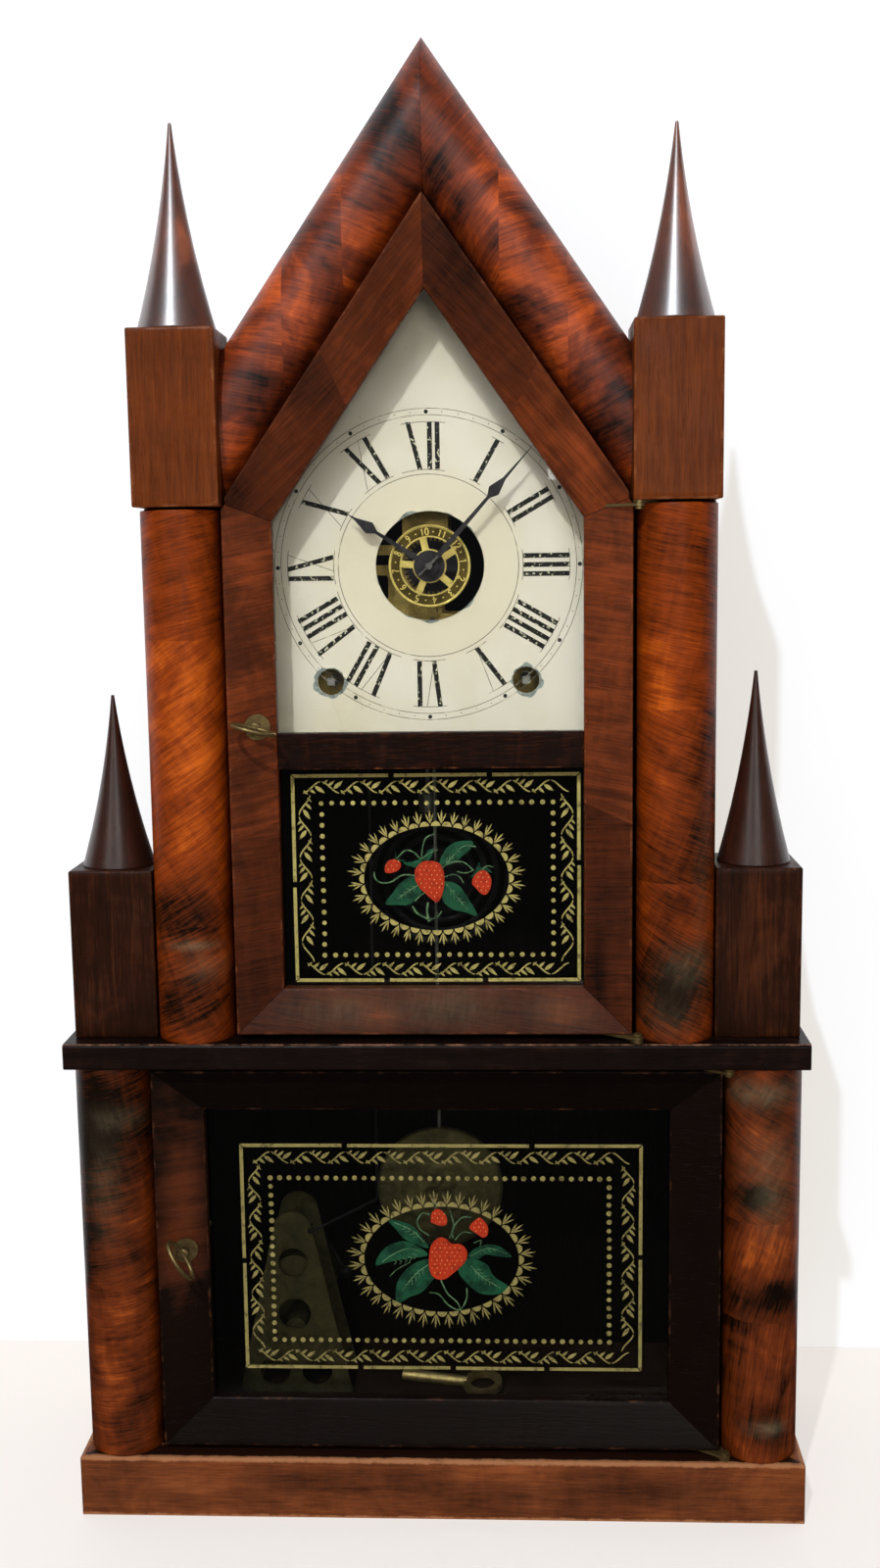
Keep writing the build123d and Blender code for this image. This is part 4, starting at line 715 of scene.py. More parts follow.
def spire(name, x, y, base, radius, height, replaces, seed):
    """A turned spire: its outline is the arc of a circle through three points."""
    tip, tall = 0.7, base == BLOCK_TOP
    a, b, c = numbers([(radius, 0.0), (radius * 0.41, height / 2), (tip, height)])
    centre = np.linalg.solve(2 * np.stack([b - a, c - a]), [b @ b - a @ a, c @ c - a @ a])
    z = np.concatenate([[0.0, 0.25, 0.6], np.linspace(1.2, height - 0.4, 60), [height - 0.15, height]])
    r = centre[0] - np.sqrt((a - centre) @ (a - centre) - (z - centre[1]) ** 2)
    r *= 1 + 0.0012 * np.sin(z * 0.5 + seed) + 0.0006 * np.sin(z * 1.3 + 2 * seed)
    r[0], r[-1] = radius - 0.4, tip * 0.35
    made = turned(np.stack([r, z], 1), (x, y, base), 56, seed=seed * 37)
    made[2]["edge"] = np.clip(1.2 - np.abs(made[0][:, 2] - base) / 1.5, 0, 1) * 0.8
    add_stains_and_shade(made, [(x - 4, base + 10, 30, 16, 0.3), (x + 6, base + 40, 6, 22, -0.25)] if tall else ())
    new_piece(name, [made], tall_spires if tall else small_spires, "case", (replaces,))


def member(start, end, sight_start, sight_end, seed, profile, marks, leaves, step=5.0):
    """A frame member seen from the front: its profile is carried along, mitred through its corners."""
    start, end, s0, s1 = (numbers((x, 0, z)) for x, z in (start, end, sight_start, sight_end))
    along = unit(end - start)
    cuts = [(corner, np.cross(sight - corner, [0, 1, 0])) for corner, sight in ((start, s0), (end, s1))]
    return carried(profile, marks, start, end, (along[2], 0, -along[0]), (0, 1, 0), cuts, step,
                   leaves=leaves, seed=seed)


def door_frame(outer, sight, widths, leaves, seed, seed_step, spots, hazes):
    """The members round a door, each from one corner to the next.

    Their outline has a bevelled face, a lip at the glass, and a rebate behind.
    """
    made = []
    for i, width in enumerate(widths):
        j = (i + 1) % len(widths)
        profile = rounded_loop([
            (0, DOOR_FRONT), (width, SIGHT_FRONT), (width, REBATE_FRONT),
            (width - LIP, REBATE_FRONT), (width - LIP, DOOR_BACK), (0, DOOR_BACK),
        ], [0.9, 0.6, 0.3, 0.3, 0.3, 0.5], 3.0, 2.0)
        made.append(member(outer[i], outer[j], sight[i], sight[j], seed + i * seed_step, *profile, leaves[i]))
        if len(outer) == 5:
            step_back(made[-1][0])
        add_stains_and_shade(made[-1], spots.get(i, ()), hazes.get(i, ()))
    return made


def step_back(points):
    """Points of the door above the ledge are brought in to the shoulder's width."""
    above = points[:, 2] > SHOULDER_LEDGE
    points[above, 0] = np.clip(points[above, 0], -SHOULDER_HALF, SHOULDER_HALF)


def gable_line(half, foot, inset):
    """Corners of the upper door's outline, from its lower left foot over the ridge."""
    shoulder = roof(half, inset)
    return [(-half, foot), (-half, shoulder), (0, roof(0, inset)), (half, shoulder), (half, foot)]


def square_line(half, low, high):
    """Corners of the lower door's outline, from its lower left foot."""
    return [(-half, low), (-half, high), (half, high), (half, low)]


# Doors: each member is cut from one outline, with its own leaves of veneer and stains, and painted sheen on the upper
# bottom rail
upper = door_frame(gable_line(88.2, 229.7, 37.6), gable_line(SIGHT_HALF, 249.2, 59.1), [20.7, 21.5, 21.5, 20.7, 19.5], [
    ((0.0, 6.0, 0.12), (0.365, 12.0, -0.02)), ((0.0, 78.0, 0.12), (0.5, 84.0, 0.0)),
    ((0.0, 100.0, 0.08), (0.55, 96.0, -0.04)), ((0.0, -8.0, -0.1), (0.6, 5.0, 0.12)), ((0.0, 82.0, 0.06),),
], 61.0, 83.0, {
    0: [(-76, 435, 10, 12, -0.22), (-84, 405, 5, 20, 0.12), (-78, 390, 8, 8, -0.16), (-80, 250, 14, 16, 0.2),
        (-82, 345, 6, 22, 0.14)],
    1: [(-55, 520, 12, 14, 0.28), (-84, 470, 12, 14, 0.3), (-30, 560, 20, 26, 0.1), (-60, 500, 8, 8, -0.1)],
    2: [(64, 480, 14, 12, -0.2), (20, 570, 26, 30, 0.35), (46, 520, 16, 16, 0.1), (82, 474, 9, 9, 0.2)],
    3: [(80, 430, 10, 16, -0.15), (73, 258, 6, 26, 0.36), (82, 300, 10, 20, 0.1)],
    4: [(0, 236, 120, 16, 0.26), (-24, 238, 9, 6, -0.3), (60, 238, 9, 5, -0.3)],
# The next table lays a pale film on the bottom rail: painted sheen on its upward face
}, {4: [(-40, 240, 24, 8, 0.25), (8, 242, 22, 9, 0.3), (56, 240, 14, 8, 0.2)]})
lower = door_frame(square_line(128.6, 31.9, 212.7), square_line(106.0, 52.2, 192.4), [22.6, 20.3, 22.6, 20.3], [
    ((0.0, 8.0, 0.1), (0.42, 3.0, -0.06)), ((0.0, 90.0, 0.25),), ((0.0, 4.0, 0.1),), ((0.0, 88.0, 0.2),),
], 19.0, 97.0, {0: [(-117, 140, 9, 42, -0.5), (-124, 100, 5, 60, -0.1)], 2: [(118, 120, 8, 40, 0.05)]}, {})
mid_loop, mid_marks = rounded_loop([
    (MID_LOW, SIGHT_FRONT), (MID_HIGH, SIGHT_FRONT), (MID_HIGH, REBATE_FRONT), (MID_HIGH - LIP, REBATE_FRONT),
    (MID_HIGH - LIP, DOOR_BACK), (MID_LOW + LIP, DOOR_BACK), (MID_LOW + LIP, REBATE_FRONT), (MID_LOW, REBATE_FRONT),
], 0.5, 3.0, 2.0)
mid_rail = add_stains_and_shade(carried(mid_loop[:, ::-1], mid_marks, (-SIGHT_HALF, 0, 0), (SIGHT_HALF, 0, 0), (0, 1, 0),
                              (0, 0, 1), leaves=((0.0, 88.0, 0.5),), seed=400.0, depth=0))
for place, kind, material, shells in (
        ("upper", "stiles", door_upper, [upper[0], upper[3]]),
        ("upper", "gable_rails", door_upper, [upper[1], upper[2]]),
        ("upper", "cross_rails", door_upper, [mid_rail, upper[4]]),
        ("lower", "stiles", door_lower, [lower[0], lower[2]]),
        ("lower", "rails", door_lower, [lower[1], lower[3]])):
    new_piece(f"{place}_{kind}", shells, material, f"{place}_door",
              (f"{place}_door_{kind}",))

# Gable mouldings: a half-round section, mitred at the ridge, cut upright at the blocks
half = MOULDING_WIDTH / 2
big = (half ** 2 + MOULDING_DEPTH ** 2) / (2 * MOULDING_DEPTH)
turn = np.linspace(-1, 1, 33) * np.arcsin(half / big)
arc = np.stack([half + big * np.sin(turn), FACE_Y - MOULDING_DEPTH + big - big * np.cos(turn)], 1)
flat_back = np.stack([np.linspace(MOULDING_WIDTH, 0, 8)[1:-1], np.full(6, FACE_Y)], 1)
moulding_loop = np.concatenate([arc, flat_back])
for side, name, leaves, spots in (
        (-1, "left", ((0.0, 24.0, -0.02), (0.31, 18.0, 0.05), (0.62, 12.0, 0.0)), [
            (-12, 618, 16, 22, 0.4), (-52, 540, 12, 14, -0.18), (-70, 512, 16, 12, 0.3),
            (-30, 585, 12, 20, -0.08), (-84, 480, 14, 14, -0.25)]),
        (1, "right", ((0.0, 14.0, 0.0), (0.36, -16.0, 0.02), (0.7, -8.0, 0.0)), [
            (8, 600, 14, 16, 0.3), (30, 590, 12, 16, -0.22), (58, 540, 14, 18, -0.2), (82, 505, 14, 20, 0.35)])):
    ends = [(side * BLOCK_INNER, roof(BLOCK_INNER)), (0, APEX)][::-side]
    inner_ends = [(x, z - MOULDING_WIDTH) for x, z in ends]
    made = member(*ends, *inner_ends, 310 + side * 55.0, moulding_loop, np.zeros(len(moulding_loop)), leaves, 3.0)
    new_piece(f"gable_bow_{name}", [add_stains_and_shade(made, spots)], mouldings, "case",
              (f"gable_moulding_{name}",))

# Columns, blocks and spires
column("upper", "left", -107.7, SHELF_TOP, COLUMN_TOP, columns_upper, [
    (-112, 440, 14, 26, 0.12), (-98, 380, 10, 30, -0.1), (-108, 286, 30, 15, 0.44), (-108, 246, 30, 24, 0.5),
    (-118, 330, 8, 40, 0.14), (-100, 350, 8, 26, -0.06), (-94, 400, 4, 60, 0.12),
], [(-106, 272, 9, 2.0, 0.7), (-100, 262, 10, 6, 0.25)],
    ((0.0, 24.0, 0.0), (0.22, 32.0, 0.02), (0.77, 14.0, 0.14)), 12.0)
column("upper", "right", 107.7, SHELF_TOP, COLUMN_TOP, columns_upper, [
    (108, 440, 30, 30, 0.05), (101, 384, 5, 14, -0.3), (101, 350, 8, 30, -0.1), (117, 330, 6, 60, 0.12),
    (106, 300, 30, 20, 0.14), (104, 252, 26, 24, 0.45), (122, 400, 4, 60, 0.14),
], [(112, 262, 10, 9, 0.3), (103, 240, 12, 10, 0.15), (118, 300, 4, 40, 0.1)],
    ((0.0, -28.0, 0.14), (0.3, -22.0, 0.24), (0.63, -12.0, 0.16)), 340.0)
# On the lower columns the darker spots at the top, under the shelf, are painted shade; the other spots are stains
column("lower", "left", -147.5, PLINTH_TOP, SHELF_BOTTOM, columns_lower, [
    (-150, 196, 26, 18, 0.3), (-156, 150, 8, 50, 0.22), (-146, 90, 14, 40, -0.1), (-150, 180, 24, 14, 0.2),
    (-138, 60, 10, 24, 0.2), (-162, 90, 5, 70, 0.16),
], [(-150, 160, 8, 24, 0.22), (-144, 192, 12, 5, 0.25)], ((0.0, 6.0, 0.1), (0.44, 14.0, 0.18)), 700.0)
column("lower", "right", 147.5, PLINTH_TOP, SHELF_BOTTOM, columns_lower, [
    (148, 200, 24, 10, 0.1), (142, 180, 8, 12, -0.1), (143, 156, 8, 6, 0.5), (152, 108, 16, 12, 0.42),
    (146, 128, 14, 12, -0.2), (146, 70, 14, 26, -0.06), (134, 90, 5, 70, 0.16),
], [(144, 204, 14, 6, 0.5), (148, 176, 10, 12, 0.28), (150, 156, 8, 16, 0.35), (150, 46, 8, 3, 0.6)],
    ((0.0, 82.0, 0.1), (0.36, 70.0, 0.16), (0.62, -30.0, 0.2)), 1100.0)
for side, name in ((-1, "left"), (1, "right")):
    inner, outer = sorted((side * BLOCK_INNER, side * UPPER_HALF))
    block(f"high_block_{name}", (inner, FRONT_Y, BLOCK_BASE), (outer, BLOCK_BACK, BLOCK_TOP),
          blocks_upper, f"upper_block_{name}", [
              (side * 108, 528, 30, 12, 0.1), (side * 118, 480, 12, 30, 0.06)], 41.0 + side * 300)
    inner, outer = sorted((side * UPPER_HALF, side * LOW_BLOCK_HALF))
    block(f"low_block_{name}", (inner, LOW_BLOCK_FRONT, SHELF_TOP), (outer, LOW_BLOCK_BACK, LOW_BLOCK_TOP),
          blocks_small, f"small_block_{name}", [
              (side * 144, 262, 12, 30, -0.16), (side * 132, 240, 12, 20, 0.15)], 77.0 + side * 210)
spire("tall_finial_left", -106.5, -42.5, BLOCK_TOP, 17.1, 85.7, "tall_spire_left", 1.0)
spire("tall_finial_right", 106.5, -42.5, BLOCK_TOP, 17.1, 81.2, "tall_spire_right", 2.3)
spire("low_finial_left", -144.1, -30.4, LOW_BLOCK_TOP, 16.4, 77.4, "small_spire_left", 3.1)
spire("low_finial_right", 144.1, -30.4, LOW_BLOCK_TOP, 16.4, 85.4, "small_spire_right", 4.7)

# Base moulding: three mitred strips
strip_loop = rounded_loop([(0, 0), (PLINTH_BOARD, 0), (PLINTH_BOARD, PLINTH_TOP), (0, PLINTH_TOP)],
                          [0.6, 0.3, 0.3, 1.1], 4.0)
corner = {side: (numbers([side * PLINTH_HALF, FRONT_Y, 0]), numbers([1, side, 0])) for side in (-1, 1)}
strips = [carried(*strip_loop, (-PLINTH_HALF, FRONT_Y, 0), (PLINTH_HALF, FRONT_Y, 0), (0, 1, 0), (0, 0, 1),
                  (corner[-1], corner[1]), seed=55.0)]
strips += [carried(*strip_loop, (side * PLINTH_HALF, FRONT_Y, 0), (side * PLINTH_HALF, REAR_Y, 0),
                   (-side, 0, 0), (0, 0, 1), (corner[side], None), seed=600.0 + side * 80) for side in (-1, 1)]
for made, spots in zip(strips, ([
        (-150, 15, 18, 12, 0.1), (-60, 18, 40, 8, 0.3), (20, 10, 30, 10, 0.2), (90, 16, 34, 9, 0.35),
        (40, 24, 14, 6, -0.15), (-100, 12, 20, 8, -0.1), (150, 16, 14, 12, -0.1)], (), ())):
    add_stains_and_shade(made, spots)
strips[0][2]["stain"] += strips[0][0][:, 2] > PLINTH_TOP - 0.4
new_piece("plinth_strips", strips, plinth_wood, "case", ("plinth",))

# Painted glass: lines, vine, dots, oval of scallops and rays, berries and leaves

rng = np.random.default_rng(7)
LAYER = 0.07  # between berries and leaves
# Leaves of the vine: place along it, place across it, length, width, tilt
TROUGH_LEAVES = ((-7.4, 1.5, 3.0, 1.0, 44), (-5.4, 0.5, 4.2, 1.25, 40), (-3.0, -0.6, 5.6, 1.8, 38))
CREST_LEAVES = ((-8.0, -1.3, 2.8, 1.0, 44), (-5.6, -0.4, 4.1, 1.25, 40), (-2.8, 0.7, 5.5, 1.8, 36))


def heading(way):
    """The angle of a direction in degrees."""
    return np.degrees(np.arctan2(way[1], way[0]))


def toward(degrees):
    """The direction of an angle in degrees."""
    return ray(np.radians(degrees))


def line_frame(box, breaks, width, gap=2.6, mitre=0.35):
    """Four straight lines round a box, parted at their breaks and mitred at the corners."""
    x0, z0, x1, z1 = box
    shells = []
    for side, (low, high, fixed, inner) in enumerate((
            (x0, x1, z1, -1), (x0, x1, z0, 1), (z0, z1, x0, 1), (z0, z1, x1, -1))):
        marks = [low] + [m for b in breaks[side] for m in (b - gap / 2, b + gap / 2)] + [high]
        for a, b in zip(marks[::2], marks[1::2]):
            start = (mitre, width + mitre) if a == low else (0, 0)
            stop = (mitre, width + mitre) if b == high else (0, 0)
            lean = rng.uniform(-0.12, 0.12)
            corners = [(a + start[0], fixed), (b - stop[0], fixed + lean),
                       (b - stop[1], fixed + lean + inner * width), (a + start[1], fixed + inner * width)]
            shells.append(prism([c if side < 2 else c[::-1] for c in corners], TABLET_BACK))
    return shells


def vine(start, end, outward, period, height):
    """A waving vine in a band: h = -height cos(2 pi x / period), in strokes from trough to crest.

    Three leaves of growing size stand in each trough and hang below each crest.
    """
    start, end, outward = (numbers(v) for v in (start, end, outward))
    length = np.linalg.norm(end - start)
    along = (end - start) / length
    count = int(round(length / period))
    period = length / count
    turn = heading(along)
    flip = 1 if along[0] * outward[1] - along[1] * outward[0] > 0 else -1
    width = 0.68 * (1 - 0.45 * np.abs(np.linspace(-1, 1, 9)) ** 3)
    shells = []
    for k in range(count):
        for a, b in ((0.03, 0.49), (0.53, 0.98)):
            x = (k + np.linspace(a, b, 9)) * period
            h = -height * np.cos(2 * pi * x / period)
            shells.append(strip(start + x[:, None] * along + h[:, None] * outward, width, TABLET_BACK))
        for middle, sign, leaves in (((k + 1) * period, 1, TROUGH_LEAVES), ((k + 0.5) * period, -1, CREST_LEAVES)):
            if k == count - 1 and sign == 1:
                continue
            for away, rise, size, wide, tilt in leaves:
                base = start + (middle + away + rng.uniform(-0.15, 0.15)) * along + rise * outward
                angle = turn + flip * sign * (tilt + rng.uniform(-3, 3))
                shells.append(prism(drop(base, angle, size * rng.uniform(0.94, 1.05), wide, 5), TABLET_BACK))
    return shells


def vine_band(box, inset, period, height):
    """The vine along all four sides of a box, inset from its lines."""
    x0, z0, x1, z1 = box[0] + inset, box[1] + inset, box[2] - inset, box[3] - inset
    runs = [((x0 - 1, z), (x1 + 1, z), (0, out)) for z, out in ((z1, 1), (z0, -1))]
    runs += [((x, z1 - 3), (x, z0 + 3), (out, 0)) for x, out in ((x0, -1), (x1, 1))]
    return [made for run in runs for made in vine(*run, period, height)]


def dot_border(corners, across, up, size):
    """Dots along the four sides of a box, a little uneven, evenly spread from corner to corner."""
    x0, z0, x1, z1 = corners
    spots = [(x, z) for z in (z0, z1) for x in np.linspace(x0, x1, across)]
    spots += [(x, z) for x in (x0, x1) for z in np.linspace(z0, z1, up)[1:-1]]
    return [prism(circle(spot + rng.uniform(-0.12, 0.12, 2), size / 2 * rng.uniform(0.93, 1.06)), TABLET_BACK)
            for spot in spots]


def scalloped_oval(centre, a, b, count, rays):
    """Half discs that stand on an ellipse at equal runs of its length, and three petals between each two."""
    t = np.linspace(0, 2 * pi, 721)
    run = np.concatenate([[0], np.cumsum(np.hypot(np.diff(a * np.cos(t)), np.diff(b * np.sin(t))))])
    spacing = run[-1] / count
    half = 0.43 * spacing

    def places(first):
        """Points of the ellipse and their outward directions, one spacing apart."""
        for angle in np.interp((np.arange(count) + first) * spacing, run, t):
            yield centre + ray(angle) * (a, b), unit(ray(angle) / (a, b))

    shells = []
    for place, out in places(0.0):
        side = out[::-1] * (-1, 1)
        shells.append(prism(place + ray(np.linspace(0, pi, 9)) @ [half * side, 1.02 * half * out], TABLET_BACK))
    for place, out in places(0.5):
        for lean, size, wide in ((0, rays, 0.78), (-21, rays * 0.8, 0.6), (21, rays * 0.8, 0.6)):
            lean = heading(out) + lean + rng.uniform(-3, 3)
            petal = drop(place + out, lean, size * rng.uniform(0.93, 1.05), wide, 5, 1.15)
            shells.append(prism(petal, TABLET_BACK))
    return shells


def gilding(place, middle, box, breaks, line, vines, dots, oval, material):
    """All the gilding of one tablet."""
    new_piece(f"{place}_gilding", line_frame(box, breaks, line) + vine_band(box, *vines) + dot_border(*dots)
              + scalloped_oval(middle, *oval), material, f"{place}_door", smooth=False)


def spray(name, centre, body, berries, leaves, veins, fine):
    """Berries, leaves, and stems with leaf veins, painted one behind the other."""
    stems = [strip(eased(v) + centre, width, TABLET_BACK, 0.05) for v, width in veins]
    stems += [strip(numbers(v) + centre, width, TABLET_BACK, 0.05) for v, width in fine]
    seeds = []
    for outline in berries:
        middle = numbers(outline).mean(0)
        rim = outline - middle
        angles, reach = np.arctan2(rim[:, 1], rim[:, 0]), np.linalg.norm(rim, axis=1)
        for x in np.arange(-12, 13, 2.3):
            for z in np.arange(-12, 13, 2.0):
                away = (x + (0.9 if int(z) % 4 else 0), z) + rng.uniform(-0.2, 0.2, 2)
                here = np.interp(np.arctan2(away[1], away[0]), angles, reach, period=2 * pi)
                if np.linalg.norm(away) < 0.86 * here:
                    seeds.append(prism(drop(middle + away + centre, 90, 0.8, 0.5, 3), TABLET_BACK - 0.02, 0.015))
    for kind, shells, material in (
            ("berries", [prism(eased(o, 5, True) + centre, TABLET_BACK) for o in berries], berry_red),
            ("leaves", [prism(eased(o, 5, True) + centre, TABLET_BACK + LAYER) for o in leaves], leaf_green),
            ("stems", stems, vein_green), ("seeds", seeds, seed_cream)):
        new_piece(f"{name}_{kind}", shells, material, body, smooth=False)


def leaf_veins(base, tip, bend, count=4, reach=2.6):
    """Side veins of a leaf: short strokes that leave the middle line on both sides, aslant to the tip."""
    along = np.subtract(tip, base)
    strokes = []
    for i in range(count):
        share = 0.2 + 0.6 * i / count
        place = base + along * share + along[::-1] * (-1, 1) * bend * 4 * share * (1 - share)
        for lean in (38, -38):
            stroke = reach * (1 - 0.5 * share) * toward(heading(along) + lean)
            strokes.append(([place, place + stroke], 0.22))
    return strokes


UPPER_MIDDLE, LOWER_MIDDLE = (1.6, 298.0), (1.4, 117.7)
gilding("upper", UPPER_MIDDLE, (-63.0, 250.4, 66.2, 345.6), ((-18.0, 25.8), (-21.5, 23.2), (295.4,), (304.9,)), 1.55,
        (6.0, 17.7, 2.6), ((-49.4, 262.9, 54.0, 332.4), 23, 15, 2.15), (32.6, 23.9, 36, 6.6), gold)
gilding("lower", LOWER_MIDDLE, (-91.6, 63.2, 94.2, 173.6),
        ((-42.7, 43.7), (-37.3, 6.2, 50.0), (116.6,), (119.3,)), 1.6,
        (6.6, 17.4, 2.7), ((-77.4, 77.6, 79.0, 157.1), 37, 20, 2.35), (36.0, 25.8, 36, 7.4), dim_gold)
spray("upper_spray", UPPER_MIDDLE, "upper_door", [
    [(-6.7, 7.2), (-3.2, 8.1), (0.8, 7.2), (2.9, 4.5), (3.7, -0.5), (2.8, -6.3), (1.0, -10.3), (-0.8, -10.5),
     (-4.3, -7.6), (-7.8, -4.0), (-9.6, 0.0), (-9.4, 4.1)],
    [(-18.8, 8.8), (-16.6, 7.9), (-15.8, 6.0), (-17.2, 3.8), (-20.4, 2.6), (-22.8, 2.8), (-23.1, 5.2), (-21.6, 8.0)],
    [(20.2, 3.6), (23.0, 2.6), (24.6, -0.6), (24.2, -4.6), (22.3, -7.4), (19.9, -7.0), (17.4, -4.2), (15.9, -2.0),
     (17.2, 1.3)],
], [
    [(-6.4, 1.4), (-11.2, 1.2), (-16.0, -1.9), (-19.6, -6.4), (-23.2, -11.6), (-18.1, -12.1), (-13.2, -12.1),
     (-9.6, -10.2), (-6.6, -6.0), (-5.4, -2.0)],
    [(2.8, -2.0), (7.2, -1.8), (11.0, -4.5), (14.6, -9.9), (18.3, -17.2), (12.8, -15.6), (7.1, -14.2), (3.2, -10.8),
     (1.9, -6.3)],
    [(1.6, 5.6), (2.6, 10.2), (5.3, 14.2), (9.6, 16.6), (16.3, 16.9), (15.3, 13.3), (11.8, 10.0), (7.0, 6.6)],
    [(-6.2, 9.2), (-10.6, 7.6), (-14.9, 7.2), (-10.4, 5.2), (-7.2, 5.6)],
    [(-5.9, 8.6), (-3.6, 12.6), (-1.2, 13.4), (-2.0, 10.2), (-3.6, 8.2)],
    [(15.4, 0.2), (17.4, 3.4), (19.2, 7.4), (20.1, 5.0), (22.6, 4.9), (25.2, 2.4), (21.0, 3.4), (17.6, 1.6)],
    [(-20.4, 8.2), (-18.6, 9.4), (-18.2, 12.6), (-17.4, 9.2), (-13.6, 8.2), (-17.2, 7.9)],
], [
    ([(-6.9, -2.4), (-11.6, -5.0), (-17.8, -9.4)], 0.4), ([(4.4, -2.6), (8.9, -8.2), (13.8, -14.4)], 0.4),
    ([(3.0, 4.7), (7.4, 10.0), (12.4, 14.6), (18.0, 14.4)], 0.5),
    ([(-6.5, 9.0), (-6.0, 14.2), (-4.4, 18.4), (-0.6, 20.3)], 0.55),
    ([(-7.1, 9.0), (-10.1, 12.0), (-13.8, 12.8), (-17.6, 9.4)], 0.55),
    ([(1.8, 4.6), (7.4, 7.4), (12.6, 7.2), (16.6, 3.6)], 0.55), ([(-9.5, 1.4), (-15.2, 1.6), (-20.4, -1.5),
     (-25.0, -1.8), (-27.6, 0.3), (-28.0, 3.2)], 0.6),
    ([(-3.9, -11.0), (-4.4, -15.3), (-3.6, -19.8)], 0.9), ([(-11.0, -12.7), (-8.8, -16.0), (-4.9, -18.2),
     (-2.8, -19.2)], 0.8),
    ([(-3.0, -19.0), (0.4, -17.4), (2.2, -15.0)], 0.5), ([(9.3, 3.1), (13.2, 2.4), (17.0, 3.9)], 0.4),
    ([(-6.4, 9.0), (-3.0, 11.6), (0.8, 13.1)], 0.35), ([(3.6, 0.6), (7.4, 1.8), (10.4, 0.6), (12.2, -2.2)], 0.4),
    ([(20.4, 3.9), (22.8, 5.6), (25.6, 5.0)], 0.35), ([(-5.0, -6.2), (-8.0, -8.4), (-9.8, -10.4)], 0.5),
], leaf_veins((-7, -2), (-20, -10.5), 0.0) + leaf_veins((4, -3), (15, -15), 0.0) + leaf_veins((3, 5), (13, 15), 0.05))
spray("lower_spray", LOWER_MIDDLE, "lower_door", [
    [(-0.1, 10.8), (2.6, 9.8), (5.1, 7.7), (9.0, 7.5), (11.7, 4.6), (11.6, 0.3), (9.3, -3.1), (5.6, -6.5),
     (1.9, -9.4), (-1.3, -9.9), (-4.5, -8.0), (-5.8, -3.6), (-5.7, 2.1), (-4.7, 6.9), (-2.4, 9.8)],
    [(-1.7, 24.6), (1.0, 23.2), (2.8, 19.9), (2.3, 17.0), (-0.5, 16.5), (-3.2, 17.5), (-4.7, 18.4), (-4.2, 22.6)],
    [(17.8, 20.4), (20.0, 18.8), (21.8, 15.7), (21.3, 11.9), (19.0, 10.9), (16.3, 12.8), (13.2, 15.4), (14.6, 18.0)],
], [
    [(-5.9, 5.6), (-9.6, 12.0), (-14.6, 17.0), (-24.6, 19.4), (-21.0, 14.8), (-17.6, 10.4), (-12.4, 7.6)],
    [(-6.4, 2.1), (-10.2, 5.9), (-17.2, 8.8), (-24.3, 6.8), (-28.6, 2.5), (-30.7, -2.8), (-26.8, -2.2),
     (-20.8, -0.4), (-13.9, 0.6)],
    [(-5.2, -0.3), (-11.2, -1.3), (-17.0, -5.6), (-21.0, -12.4), (-21.2, -21.6), (-15.1, -18.6), (-9.6, -16.2),
     (-5.0, -11.3), (-3.4, -7.5)],
    [(12.4, 1.6), (15.8, 5.4), (21.7, 7.5), (27.1, 6.4), (32.6, 1.6), (26.6, 1.6), (20.6, 2.6), (17.0, 0.2)],
    [(11.2, 0.3), (16.2, -0.1), (21.2, -2.5), (24.4, -8.3), (31.4, -13.5), (25.7, -16.9), (17.8, -16.5),
     (12.3, -12.2), (7.6, -5.4)],
], [
    ([(-6.2, -2.6), (-11.6, -6.8), (-18.4, -15.2)], 0.42), ([(13.6, -2.9), (18.4, -8.2), (27.4, -14.0)], 0.42),
    ([(-8.8, 3.6), (-15.5, 5.2), (-22.4, 2.4), (-27.6, -1.4)], 0.4), ([(-7.8, 8.2), (-13.3, 14.0), (-21.8, 18.0)], 0.4),
    ([(13.4, 1.6), (21.6, 5.6), (30.4, 3.0)], 0.4), ([(-5.5, 11.7), (-9.6, 14.6), (-11.0, 18.6), (-8.6, 22.4),
     (-5.4, 22.0)], 0.5),
    ([(-2.9, 24.6), (-1.6, 26.6), (-4.2, 27.6)], 0.4),
    ([(5.4, 10.6), (5.4, 15.0), (9.6, 20.4), (14.1, 20.6)], 0.5), ([(6.4, 9.6), (10.0, 13.4), (14.0, 12.9)], 0.45),
    ([(-0.4, -10.2), (2.6, -16.6), (7.0, -20.9), (8.8, -25.0)], 0.55),
    ([(-5.8, -16.2), (-1.4, -17.2), (3.0, -22.4), (8.2, -24.6), (11.4, -19.4), (11.6, -13.8)], 0.55),
    ([(3.6, 10.2), (6.0, 15.6), (4.2, 24.0)], 0.4), ([(-24.2, -8.4), (-20.8, -5.0), (-14.6, -1.4)], 0.4),
    ([(15.2, 8.2), (18.4, 9.4), (18.0, 6.8)], 0.35),
], leaf_veins((-5.6, -2), (-20, -17), 0.0, 5, 3.2) + leaf_veins((13, -2), (27, -14), -0.05, 5, 3.2)
      + leaf_veins((-8, 5), (-28, 0), 0.16, 5, 2.6) + leaf_veins((-8, 9), (-22, 17), -0.05, 4, 2.6)
      + leaf_veins((14, 2), (30, 3), 0.14, 4, 2.0))

# Dial: circles, dots and numerals, with chips round its holes

PRINT = DIAL_FRONT - 0.05
HOUR_IN, HOUR_OUT, THICK_STROKE, HAIR, BAR_STEP = 42.4, 62.9, 2.15, 0.32, 4.0
PRINT_X, NUDGES, CLOSER_TWELVE = -0.75, {0: -1.5, 11: -0.4}, 0.6
DOT_CIRCLE, HOUR_DOT, MINUTE_DOT = 67.4, 1.9, 0.5
NUMERALS = ["XII", "I", "II", "III", "IIII", "V", "VI", "VII", "VIII", "IX", "X", "XI"]
LETTER_WIDTH = {"I": 2.3, "V": 7.4, "X": 8.0}


